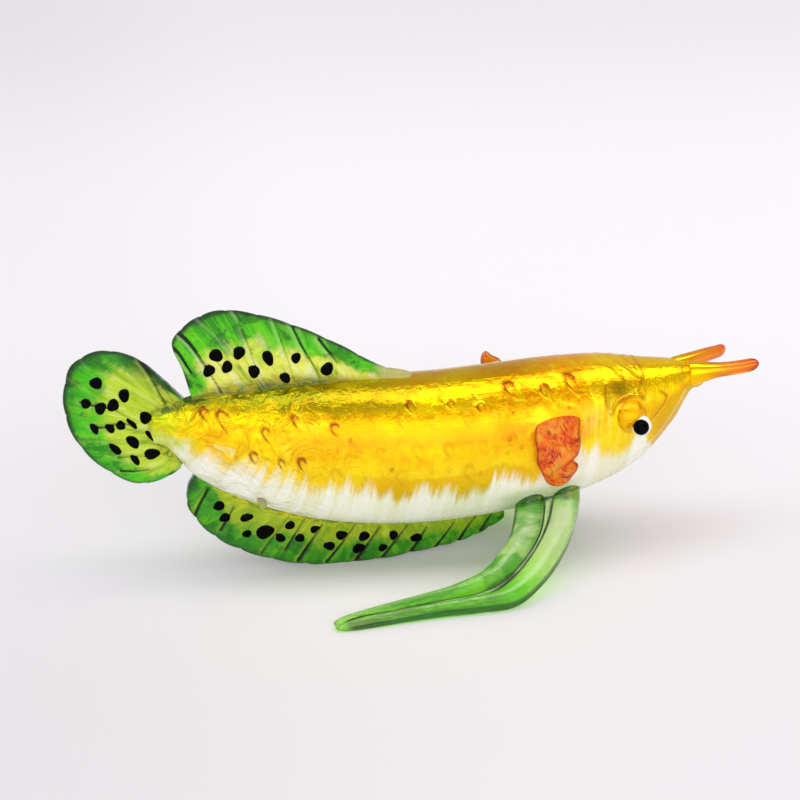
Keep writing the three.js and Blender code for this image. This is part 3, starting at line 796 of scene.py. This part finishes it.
orange = orange_glass()
for word, petal in PECTORALS.items():
    shares = np.linspace(0, 1, PECTORAL_STEPS)
    path = through_points(np.array(petal["spine"]) * MM, shares)
    across = np.array(petal["across"], float)
    across /= np.linalg.norm(across)
    along = np.gradient(path, axis=0)
    face = np.cross(along, across)
    face /= np.linalg.norm(face, axis=1)[:, None]
    half = sizes_along(petal["half_widths"], shares)
    from_end = np.clip(np.minimum(shares, 1 - shares) / PECTORAL_ROUND, 0, 1)
    rounded = np.sqrt(1 - 0.75 * (1 - from_end) ** 2)
    notch = PECTORAL_NOTCH * np.exp(-((shares - PECTORAL_NOTCH_AT) / PECTORAL_NOTCH_WIDTH) ** 2)
    wave = PECTORAL_WAVE * np.sin(shares * 19)
    half = half * rounded - notch / 2
    path = path + across * (wave - notch / 2)[:, None]
    thick = PECTORAL_HALF_THICK * rounded
    rings = tube(path, across, face, half, thick, PECTORAL_SIDES)
    edge = np.tile(np.cos(ring_angles(PECTORAL_SIDES)), PECTORAL_STEPS)
    points = {"edge": np.append(edge, (1.0, 1.0))}
    add_piece(f"pectoral_fin_{word}_glass", closed_loft(rings), orange, "orange_glass",
              (f"pectoral_fin_{word}",), points)

# The dorsal, anal and tail fins
# Fans of green glass, pressed flat while soft. A blade pressed grooves into them from the rim
# toward the root, and dots of black enamel are melted into the right face.
FIN_RIM_EDGE = 0.55 * MM
FIN_RAY_DEPTH = 0.15
FIN_STEPS_PER_RAY = 26
FIN_LEVELS = 64
FIN_FACE = -1.0 * MM
ROOT_SINK = 1.6 * MM
GROOVE_DEEP = 0.45
# How far along x the painted highlight beside each groove lies from it
GLEAM_SHIFT = 0.6 * MM
FINS = {
    "dorsal_fin": dict(
        base_from=-41.6, base_to=-1.2, edge=1,
        rim=[(-43.4, 43.5), (-45.1, 48.6), (-41.6, 52.6), (-36.4, 54.4), (-29.5, 53.2),
             (-21.5, 50.0), (-13.5, 45.6), (-6.5, 41.2), (-0.6, 39.4)],
        rays=10, root_thick=2.6, rim_thick=1.3, scallop=0.25, turn=0.62, dark_to=0.06, clear_from=0.84,
        colours=("#c8b404", "#fcfe62", "#5ede00", "#04300a"), light="#ffffd6",
        grooves=[
            (1.0, [(173, 331), (184, 339), (194, 350), (206, 368), (222, 393)]),
            (0.9, [(174, 350), (180, 356), (187, 367), (192, 374)]),
            (0.5, [(198, 319), (219, 338), (234, 358), (251, 388)]),
            (0.6, [(234, 312), (241, 322)]), (0.55, [(242, 330), (250, 350), (258, 372), (270, 388)]),
            (0.45, [(226, 340), (240, 357), (255, 375), (268, 391)]),
            (0.55, [(274, 321), (282, 343), (288, 361), (294, 379)]),
            (0.7, [(290, 322), (301, 345), (311, 362), (320, 378)]),
            (0.35, [(300, 325), (309, 350)]), (0.75, [(319, 340), (330, 354), (338, 364)]),
        ],
        dots=[(216, 355.7, 12, 12, 0), (239, 353, 11, 12, 0), (209, 371, 10, 12, 30),
              (227, 367, 9.5, 11.5, 0), (268, 358, 10, 13.5, -15), (254, 371.5, 10.5, 12, 0),
              (296, 358, 8.5, 10, 0), (285, 377.5, 8.5, 11, -30), (327, 369, 11.5, 12, 0)],
    ),
    "anal_fin": dict(
        base_from=-41.4, base_to=17.6, edge=-1,
        rim=[(-43.6, 19.0), (-43.6, 14.8), (-39.6, 8.6), (-33.0, 4.0), (-24.0, 0.7),
             (-14.5, -0.5), (-5.0, 0.1), (4.5, 1.4), (9.2, 2.4), (13.7, 4.1), (17.8, 6.6)],
        rays=14, root_thick=2.8, rim_thick=1.4, scallop=0.35, turn=0.6, dark_to=0.06, clear_from=2.0,
        colours=("#ece408", "#b4cc16", "#46b008", "#125a0e"), light="#dcec3c",
        grooves=[
            (0.9, [(195, 518), (199, 507), (208, 490)]), (0.8, [(221, 531), (228, 519), (234, 507)]),
            (0.6, [(262, 554), (276, 534), (290, 515)]), (0.7, [(286, 551), (295, 535), (305, 519)]),
            (1.0, [(299, 561), (311, 543), (322, 525)]), (0.8, [(327, 563), (342, 544), (356, 524)]),
            (1.0, [(355, 563), (368, 545), (380, 527)]), (0.8, [(383, 558), (396, 541), (408, 525)]),
            (0.9, [(411, 553), (419, 541), (427, 527)]), (0.8, [(435, 549), (445, 536), (454, 523)]),
            (0.9, [(458, 543), (467, 529), (476, 516)]), (0.8, [(481, 531), (487, 522), (492, 514)]),
        ],
        dots=[(219, 506, 11, 9, 0), (225, 518, 11, 9, 20), (246.5, 517.5, 12, 8, -15),
              (247, 534, 8.5, 8, -30), (265, 532, 13.5, 17, 60),
              (290, 525, 9, 9, 0), (280.5, 538, 9, 9.5, -30), (300, 538, 10, 8, 0),
              (315, 529, 9, 8, 0), (329.5, 546, 11, 9, 0), (341.5, 535, 11, 10, 0),
              (364, 536, 11, 9.5, 0), (359, 548.6, 12, 10.5, 0), (393.5, 535, 9, 9.5, 0),
              (383, 548, 9, 7.5, 0), (416.4, 538, 11, 9.5, 0)],
    ),
    "tail_fin": dict(
        base=[(-43.2, 36.9), (-44.6, 35.4), (-45.4, 31.2), (-45.2, 27.0), (-44.2, 24.6)],
        rim=[(-44.4, 38.4), (-47.4, 42.0), (-51.9, 46.2), (-58.2, 48.0), (-63.4, 45.6),
             (-65.4, 39.0), (-64.2, 31.6), (-59.6, 24.9), (-52.6, 20.5), (-47.4, 21.4),
             (-44.6, 23.2)],
        rays=11, root_thick=3.0, rim_thick=1.6, scallop=0.3, turn=0.72, dark_to=0.34, clear_from=2.0,
        colours=("#dce210", "#d2ec2e", "#50d604", "#04380a"), light="#f8fc92",
        grooves=[
            (0.4, [(119, 368), (134, 377), (144, 387), (156, 402)]),
            (0.9, [(140, 362), (149, 374), (160, 395), (166, 404)]),
            (0.35, [(75, 352), (92, 371), (115, 398), (137, 416)]),
            (0.4, [(64, 376), (82, 386), (96, 396)]),
            (0.65, [(80, 403), (91, 406), (105, 408), (119, 413), (136, 424)]),
            (0.8, [(92, 428), (105, 428), (122, 424), (134, 427)]),
            (0.4, [(84, 443), (100, 442), (119, 442), (144, 443), (162, 446)]),
            (0.6, [(118, 458), (134, 457), (147, 456)]), (0.7, [(121, 472), (134, 472), (149, 470)]),
        ],
        dots=[(96, 383.5, 10.5, 11.5, -30), (124, 395.3, 10.5, 11.5, 0), (86, 404, 10, 8.5, 0),
              (100.5, 408.4, 10.5, 11, 0), (113, 405.4, 11, 11.5, 0), (145.4, 417, 10.5, 12, -20),
              (94.3, 429, 6.5, 11, -30), (110, 428.5, 7.5, 9.5, -30), (120.7, 425.2, 8, 9.5, -20),
              (132, 423.8, 5, 12.5, -42), (150.8, 435.4, 5.5, 12.5, -42),
              (132.8, 441.6, 9.5, 14.5, -42), (115.2, 449.2, 7, 14, -38), (135.2, 459.8, 6.5, 11.5, -25),
              (151.8, 453.4, 14, 11, 0)],
    ),
}
DOT_DOME = 0.22 * MM
DOT_SPREAD = (1.1, 1.22)


def in_middle(pairs):
    """Points in the middle plane of the fish, from their x and z in millimetres."""
    flat = np.array(pairs) * MM
    return np.stack([flat[:, 0], 0 * flat[:, 0], flat[:, 1]], axis=1)


def fin_base(fin, shares):
    """Points along the root of a fin, sunk a little into the body."""
    if "base" in fin:
        return through_points(in_middle(fin["base"]), shares)
    x = np.linspace(fin["base_from"], fin["base_to"], 9) * MM
    axis, half_height, _ = body_at(x)
    z = axis + fin["edge"] * (half_height - ROOT_SINK)
    return through_points(np.stack([x, 0 * x, z], axis=1), shares)


def groove_depth(fin, x, z):
    """How deep each point lies in a groove, from 0 to 1. Grooves narrow toward the root."""
    deep = np.zeros_like(x)
    for strength, pixels in fin["grooves"]:
        path = np.array([in_plane(pixel, FIN_FACE) for pixel in pixels])
        shares = np.linspace(0, len(path) - 1, 60)
        for share, (knot_x, knot_z) in zip(shares, smooth_line(np.arange(len(path)), path, shares)):
            width = (0.2 + 0.3 * strength) * (1 - 0.6 * share / (len(path) - 1)) * MM
            out = np.hypot(x - knot_x, z - knot_z) / width
            deep = np.maximum(deep, strength * np.exp(-out ** 2))
    return deep


def fan(fin):
    """Rings of a fin, one for each place along its rim, and numbers that its glass follows."""
    steps = fin["rays"] * FIN_STEPS_PER_RAY + 1
    shares = np.linspace(0, 1, steps)
    root = fin_base(fin, shares)
    rim = through_points(in_middle(fin["rim"]), shares)
    ray = np.sqrt(np.abs(np.sin(math.pi * fin["rays"] * shares)))
    outward = rim - root
    outward /= np.linalg.norm(outward, axis=1)[:, None]
    rim = rim + outward * (fin["scallop"] * MM * (ray - 1))[:, None]
    levels = 1 - (1 - np.linspace(0, 1, FIN_LEVELS)) ** 1.5
    middle = root[:, None, :] + (rim - root)[:, None, :] * levels[None, :, None]
    groove = groove_depth(fin, middle[:, :, 0], middle[:, :, 2])
    # Where the painted highlight beside each groove lies
    gleam = groove_depth(fin, middle[:, :, 0] + GLEAM_SHIFT, middle[:, :, 2])
    full = fin["root_thick"] + (fin["rim_thick"] - fin["root_thick"]) * levels[None, :]
    relief = 1 - FIN_RAY_DEPTH * (1 - ray)[:, None] * np.minimum(1, levels * 4)[None, :]
    relief = relief - GROOVE_DEEP * groove
    rounded = np.sqrt(np.clip(1 - ((levels - 0.88) / 0.12).clip(0) ** 2, 0, 1))[None, :]
    thick = (full * MM * relief - FIN_RIM_EDGE) * rounded + FIN_RIM_EDGE * (0.3 + 0.7 * rounded)
    near = middle.copy()
    near[:, :, 1] -= thick / 2
    far = middle[:, ::-1].copy()
    far[:, :, 1] += thick[:, ::-1] / 2

    def on_both(numbers):
        """Numbers of the right face, repeated on the left one and at the two ends."""
        return np.append(np.concatenate([numbers, numbers[:, ::-1]], axis=1), (0.0, 0.0))

    shown = {
        "share": np.append(np.repeat(shares, 2 * FIN_LEVELS), (0.0, 1.0)),
        "level": np.append(np.tile(np.concatenate([levels, levels[::-1]]), steps), (0.5, 0.5)),
        "groove": on_both(groove),
        "gleam": on_both(gleam),
    }
    return np.concatenate([near, far], axis=1), shown


def trimmed_to_table(rings):
    """Rings whose points below the table top are pressed flat onto it."""
    pressed = rings.copy()
    pressed[:, :, 2] = np.maximum(pressed[:, :, 2], 0)
    return pressed


def green_fin_glass(name, fin):
    """Green glass that is lime yellow inside, streaked along its rays and wrinkled where it was
    melted onto the body, with painted shade at its rim and in its grooves, and a painted
    highlight beside each groove."""
    at_root, inside, outside, at_rim = fin["colours"]
    glass = Finish(name)
    smooth = glass.smooth
    share, level, groove = (glass.read(label) for label in ("share", "level", "groove"))
    cloud = glass.noise(glass.place(), 230, 5, 0.6, 0.8)
    blot = glass.noise(glass.stretched(1, 1, 1.4), 240, 4, 0.6, 0.5)
    across_rays = share * fin["rays"]
    fibre, wrinkle = (
        glass.noise(glass.node("CombineXYZ", {}, {"X": across_rays * x, "Y": level * y}),
                    1.0, detail, 0.6, distortion)
        for x, y, detail, distortion in ((3.2, 1.6, 4, 0.5), (2.4, 13, 3, 1.2)))
    ends = smooth(share, 0.2, 0.02) * 0.5
    outer = smooth(level + ends + (cloud - 0.5) * 0.75, fin["turn"] - 0.16, fin["turn"] + 0.1)
    inner = glass.coats(tint(inside), (smooth(fibre, 0.5, 0.64) * 0.8, fin["light"]),
                        (smooth(fibre, 0.46, 0.34) * 0.75, "#7cb414"))
    deep = glass.coats(
        tint(outside),
        (smooth(fibre, 0.5, 0.36) * 0.5, "#8ce41e"),
        (smooth(fibre, 0.5, 0.62) * 0.6, "#1a8c08"),
        (smooth(blot, 0.51, 0.62) * 0.75, "#0c6e04"),
        (smooth(level + (cloud - 0.5) * 0.3, 0.84, 1.0) * 0.35, at_rim),
    )
    rooted = smooth(level + (wrinkle - 0.5) * 0.25, 0.27, 0.17)
    root = glass.coats(tint(at_root), (smooth(wrinkle, 0.44, 0.6), "#4c7404"))
    # Painted shade along the first share of the rim, widest on the tail fin, whose thick upper edge
    # faces the camera
    dark = smooth(share, fin["dark_to"], fin["dark_to"] / 2) * smooth(level + blot, 0.75, 1.05)
    clear = smooth(share, fin["clear_from"], fin["clear_from"] + 0.05)
    colour = glass.coats(
        glass.mix(rooted * 0.85, glass.mix(outer, inner, deep), root),
        # Painted shade along the rim and in the grooves, where the rounded glass shows the dim
        # surroundings, and a painted highlight beside each groove
        (smooth(level + (cloud - 0.5) * 0.06, 0.94, 0.985) * 0.9, at_rim),
        (dark * 0.9, at_rim),
        (glass.read("gleam") * 0.35, fin["light"]),
        (smooth(groove, 0.3, 0.62) * (0.6 + 0.4 * outer), "#031c05"),
        (clear * 0.85, "#ece8a4"),
    )
    relief = glass.bump(cloud * 2 + fibre + blot, 0.5, 0.0010)
    return see_through(glass, colour, 0.03, 0.12, 0.6, relief, "#b8dc8c")


def dot_domes(fin, fan_form):
    """A low dome of enamel over each dot, laid on the right face of the fin."""
    targets = (target_of(fan_form), bare_body())
    vertices = []
    faces = []
    rows = 5
    around = 24
    for u, v, wide, tall, lean in fin["dots"]:
        x, z = in_plane((u, v), FIN_FACE)
        turned = math.radians(-lean)
        start = len(vertices)
        for row in range(rows + 1):
            out = row / rows
            height = DOT_DOME * (1 - out ** 4) - 0.02 * MM
            for k in range(around if row else 1):
                turn = 2 * math.pi * k / around
                uneven = 1 + 0.07 * math.sin(2 * turn + u) + 0.06 * math.sin(3 * turn + v)
                across = DOT_SPREAD[0] * wide / 2 / PIXELS_PER_MM * MM * out * uneven * math.cos(turn)
                up = DOT_SPREAD[1] * tall / 2 / PIXELS_PER_MM * MM * out * uneven * math.sin(turn)
                spot_x = x + across * math.cos(turned) - up * math.sin(turned)
                spot_z = z + across * math.sin(turned) + up * math.cos(turned)
                start_at, ahead = Vector((spot_x, -0.05, spot_z)), Vector((0, 1, 0))
                hits = [target.ray_cast(start_at, ahead)[0] for target in targets]
                y = min([hit.y for hit in hits if hit], default=FIN_FACE / 2)
                vertices.append((spot_x, y - height, spot_z))
        ring = [start + 1 + np.arange(around) + row * around for row in range(rows)]
        for k in range(around):
            beside = (k + 1) % around
            faces.append((start, ring[0][k], ring[0][beside]))
            for inner, outer in zip(ring, ring[1:]):
                faces.append((inner[k], outer[k], outer[beside], inner[beside]))
    return vertices, [tuple(int(c) for c in face) for face in faces]


for name, fin in FINS.items():
    rings, shown = fan(fin)
    if name == "anal_fin":
        rings = trimmed_to_table(rings)
    form = closed_loft(rings)
    add_piece(f"{name}_glass", form, green_fin_glass(f"{name}_green_glass", fin),
              "green_glass", (name,), shown)
    add_piece(f"{name}_dots", dot_domes(fin, form), black_enamel, "black_enamel")

# The ventral fins
# Each is two fat strands of pale green glass drawn side by side, down from the throat, out to
# the side and back along the table, where they carry the front of the figurine.
VENTRAL_INNER = [(21.7, 5.4, 16.6), (20.9, 8.2, 12.35), (19.45, 11.0, 8.45), (16.6, 14.0, 5.9),
                 (12.05, 17.7, 3.7), (5.75, 19.85, 2.5), (-1.8, 20.8, 1.8), (-9.0, 22.0, 1.4),
                 (-19.4, 24.4, 0.85)]
VENTRAL_OUTER = [(28.4, 5.0, 17.9), (28.1, 7.6, 13.15), (26.45, 10.6, 9.15), (23.5, 14.5, 6.1),
                 (18.75, 19.2, 3.4), (13.55, 22.65, 1.65), (6.8, 23.7, 1.4), (-1.6, 24.2, 1.25),
                 (-19.1, 26.0, 0.65)]
VENTRAL_RADII = [2.8, 2.85, 2.85, 2.7, 2.2, 1.55, 1.2, 1.0, 0.85]
VENTRAL_WEB = 0.35
VENTRAL_MERGE = 0.32 * MM
VENTRAL_WEB_SHARES = np.array([1.0, 0.8, 0.55, 0.25])
VENTRAL_STEPS = 200
VENTRAL_LOBE_SIDES = 18
VENTRAL_TIP_SHARE = 0.06


def evenly_through(points, count):
    """Evenly spaced points on the smooth curve through the given ones, and its directions."""
    fine = through_points(points, np.linspace(0, 1, 2000))
    run = np.append(0, np.cumsum(np.linalg.norm(np.diff(fine, axis=0), axis=1)))
    at = np.linspace(0, run[-1], count)
    path = np.stack([np.interp(at, run, fine[:, k]) for k in range(3)], axis=1)
    along = np.gradient(path, axis=0)
    return path, along / np.linalg.norm(along, axis=1)[:, None]


def ventral_fin(side):
    """Rings of a ventral fin."""
    turn = np.array([1, side, 1]) * MM
    inner, inner_along = evenly_through(np.array(VENTRAL_INNER) * turn, VENTRAL_STEPS)
    outer, outer_along = evenly_through(np.array(VENTRAL_OUTER) * turn, VENTRAL_STEPS)
    shares = np.linspace(0, 1, VENTRAL_STEPS)
    radius = sizes_along(VENTRAL_RADII, shares)
    radius *= np.sqrt(1 - 0.97 * past_tip(shares, VENTRAL_TIP_SHARE) ** 2)
    middle = (inner + outer) / 2
    across = outer - inner
    apart = np.linalg.norm(across, axis=1) / 2
    across /= 2 * apart[:, None]
    merged = VENTRAL_MERGE * np.clip((shares - 0.36) / 0.18, 0, 1) * np.clip((1 - shares) / 0.1, 0, 1)
    radius, apart = radius + merged, apart - merged
    face = np.cross(inner_along + outer_along, across)
    face /= np.linalg.norm(face, axis=1)[:, None]
    apart, radius = apart[:, None], radius[:, None]
    joint = np.maximum(apart - radius, 0.02 * radius)
    lobe = np.cos(np.linspace(0, math.pi, VENTRAL_LOBE_SIDES + 1))[:-1]
    least = 0.03 * radius * (VENTRAL_LOBE_SIDES - np.arange(len(lobe)))
    out = np.maximum(apart + lobe * radius, least)
    tall = radius * np.sqrt(1 - lobe ** 2)
    tall = np.maximum(tall, VENTRAL_WEB * radius * np.clip((1 - lobe) * 3, 0, 1))
    valley = radius * np.sqrt(np.maximum(VENTRAL_WEB ** 2, 1 - (apart / radius) ** 2))
    out = np.concatenate([out, joint * VENTRAL_WEB_SHARES], axis=1)
    tall = np.concatenate([tall, valley * np.ones(len(VENTRAL_WEB_SHARES))], axis=1)
    over = np.concatenate([out, -out[:, ::-1]], axis=1)
    top = np.concatenate([tall, tall[:, ::-1]], axis=1)
    width = np.concatenate([over, over[:, ::-1]], axis=1)
    height = np.concatenate([top, -top[:, ::-1]], axis=1)
    rings = middle[:, None, :] + across[:, None, :] * width[:, :, None]
    rings = rings + face[:, None, :] * height[:, :, None]
    over = (abs(width) - apart) / radius
    shown = {
        "share": np.append(np.repeat(shares, width.shape[1]), (0.0, 1.0)),
        "over": np.append(over.ravel(), (0.0, 0.0)),
        "crease": np.append((abs(abs(width) - joint) / MM).ravel(), (9.0, 9.0)),
        "strand": np.append(np.sign(width).ravel(), (0.0, 0.0)),
    }
    return trimmed_to_table(rings), shown


def pale_green_glass():
    """Pale green glass, deeper where it is melted onto the belly and along the table, with a
    painted highlight along each strand and painted shade at its edges and in its crease.
    """
    glass = Finish("pale_green_glass")
    smooth = glass.smooth
    share, over, strand = (glass.read(label) for label in ("share", "over", "strand"))
    streaks = glass.noise(glass.stretched(0.5, 1, 1), 240, 3, 0.5, 1.0)
    fine = glass.noise(glass.stretched(0.6, 1.5, 1.5), 520, 4, 0.6, 1.0)
    drawn = glass.ramp(share + (streaks - 0.5) * 0.18, (0.03, "#2a8a12"), (0.08, "#a8e070"),
                       (0.16, "#eafcc4"), (0.34, "#ccf48c"), (0.46, "#84dc2c"), (0.74, "#74d020"),
                       (1.0, "#b4ec6c"))
    inner = smooth(strand, 0.1, -0.1)
    blotch = smooth(abs(share + (streaks - 0.5) * 0.1 - 0.355), 0.055, 0.04)
    # Painted highlight along the crest of each strand
    crest_highlight = smooth(abs(over + (streaks - 0.5) * 0.5 - 0.1), 0.3, 0.1)
    upper = smooth(share, 0.3, 0.2) * inner
    tip = smooth(share, 0.985, 0.95)
    wedge = smooth(abs(share - 0.43), 0.08, 0.02)
    # Painted shade in the crease between the two strands, widest near the middle of their length
    crease = smooth(glass.read("crease") + (fine - 0.5) * 0.15, 0.26 + wedge * 0.4, 0.1)
    joined = smooth(share + (fine - 0.5) * 0.12, 0.085, 0.06)
    colour = glass.coats(
        drawn,
        (blotch * inner * 0.85, "#24a404"),
        (smooth(fine, 0.55, 0.7) * 0.35, "#3f9a1c"),
        # Painted highlight along the crest of each strand
        (crest_highlight * 0.55, "#f2ffd6"),
        (upper * smooth(streaks, 0.62, 0.42) * 0.7, "#5cc01c"),
        # Painted shade along the outer edge of each strand
        (smooth(over, 0.84, 0.97) * tip * 0.9, "#083c06"),
        (smooth(over, -0.9, -1.05), "#d2efa0"),
        # Painted shade in the crease between the strands
        (crease * smooth(share, 0.02, 0.1) * tip, "#04260a"),
    )
    dark = glass.coats(tint("#0e5208"), (smooth(streaks, 0.5, 0.6), "#b6cc18"))
    colour = glass.mix(joined * 0.9, colour, dark)
    relief = glass.bump(streaks * 2 + fine, 0.3, 0.0006)
    return see_through(glass, colour, 0.02, 0.3, 0.75, relief, "#c9f09a")


pale_green = pale_green_glass()
for word, side in (("right", -1), ("left", 1)):
    rings, shown = ventral_fin(side)
    add_piece(f"ventral_fin_{word}_glass", closed_loft(rings), pale_green, "green_glass",
              (f"ventral_fin_{word}",), shown)

# The table, lamps and surroundings
# A plain pale sweep under one broad lamp overhead and a paler one in front.
FLOOR_HALF = 3.0


def pale_floor():
    """A matt pale surface, with painted shade that makes it a little darker toward the camera,
    the left and the far end.
    """
    board = Finish("pale_floor")
    cloud = board.noise(board.place(), 3, 2, 0.5)
    along = board.part("X")
    away = board.part("Y")
    # Painted shade: darker toward the camera, the left and the far end, with faint clouds
    dull = board.smooth(away, 0.12, -0.05) * 0.4 + board.smooth(along, 0.02, -0.08) * 0.22
    dull = dull + board.smooth(away, 0.2, 0.42) * 0.3 + cloud * 0.05
    colour = board.mix(dull, tint("#f5f3f5"), tint("#d2d0d3"))
    return board.done(board.principled(Base_Color=colour, Roughness=0.85, Specular_IOR_Level=0.2))


floor_mesh = bpy.data.meshes.new("floor")
corners = [(x * FLOOR_HALF, y * FLOOR_HALF, 0) for x, y in ((-1, -1), (1, -1), (1, 1), (-1, 1))]
floor_mesh.from_pydata(corners, [], [(0, 1, 2, 3)])
floor_mesh.materials.append(pale_floor())
floor = bpy.data.objects.new("floor", floor_mesh)
floor.location.z = -0.02 * MM
bpy.context.collection.objects.link(floor)


def soft_lamp(name, place, aim, wide, deep, power, colour):
    """A rectangular lamp that faces a point."""
    lamp = bpy.data.lights.new(name, "AREA")
    lamp.shape = "RECTANGLE"
    lamp.size = wide
    lamp.size_y = deep
    lamp.energy = power
    lamp.color = colour
    hung = bpy.data.objects.new(name, lamp)
    hung.location = place
    hung.rotation_euler = (Vector(aim) - Vector(place)).to_track_quat("-Z", "Y").to_euler()
    bpy.context.collection.objects.link(hung)


soft_lamp("overhead_lamp", (0.0, -0.14, 1.91), (0.0, 0.0, 0.03), 3.8, 0.92, 25.0, (1.0, 1.0, 1.0))
soft_lamp("front_lamp", (-0.2, -2.3, 1.01), (0.0, 0.0, 0.03), 4.0, 1.6, 19.0, (1.0, 0.99, 0.98))


def studio(bright, dim):
    """Surroundings that are bright on the camera's side and dim behind the table."""
    world = bpy.data.worlds.new("studio")
    world.use_nodes = True
    tree = world.node_tree
    place = tree.nodes.new("ShaderNodeTexCoord")
    parts = tree.nodes.new("ShaderNodeSeparateXYZ")
    ramp = tree.nodes.new("ShaderNodeValToRGB")
    lay_stops(ramp.color_ramp, [(0.14, bright), (0.3, dim)])
    share = tree.nodes.new("ShaderNodeMapRange")
    share.inputs["From Min"].default_value = -1.0
    tree.links.new(place.outputs["Generated"], parts.inputs["Vector"])
    tree.links.new(parts.outputs["Y"], share.inputs["Value"])
    tree.links.new(share.outputs["Result"], ramp.inputs["Fac"])
    tree.links.new(ramp.outputs["Color"], tree.nodes["Background"].inputs["Color"])
    return world


bpy.context.scene.world = studio((0.95, 0.94, 0.96, 1.0), (0.52, 0.51, 0.53, 1.0))
bpy.context.scene.view_settings.view_transform = "Standard"
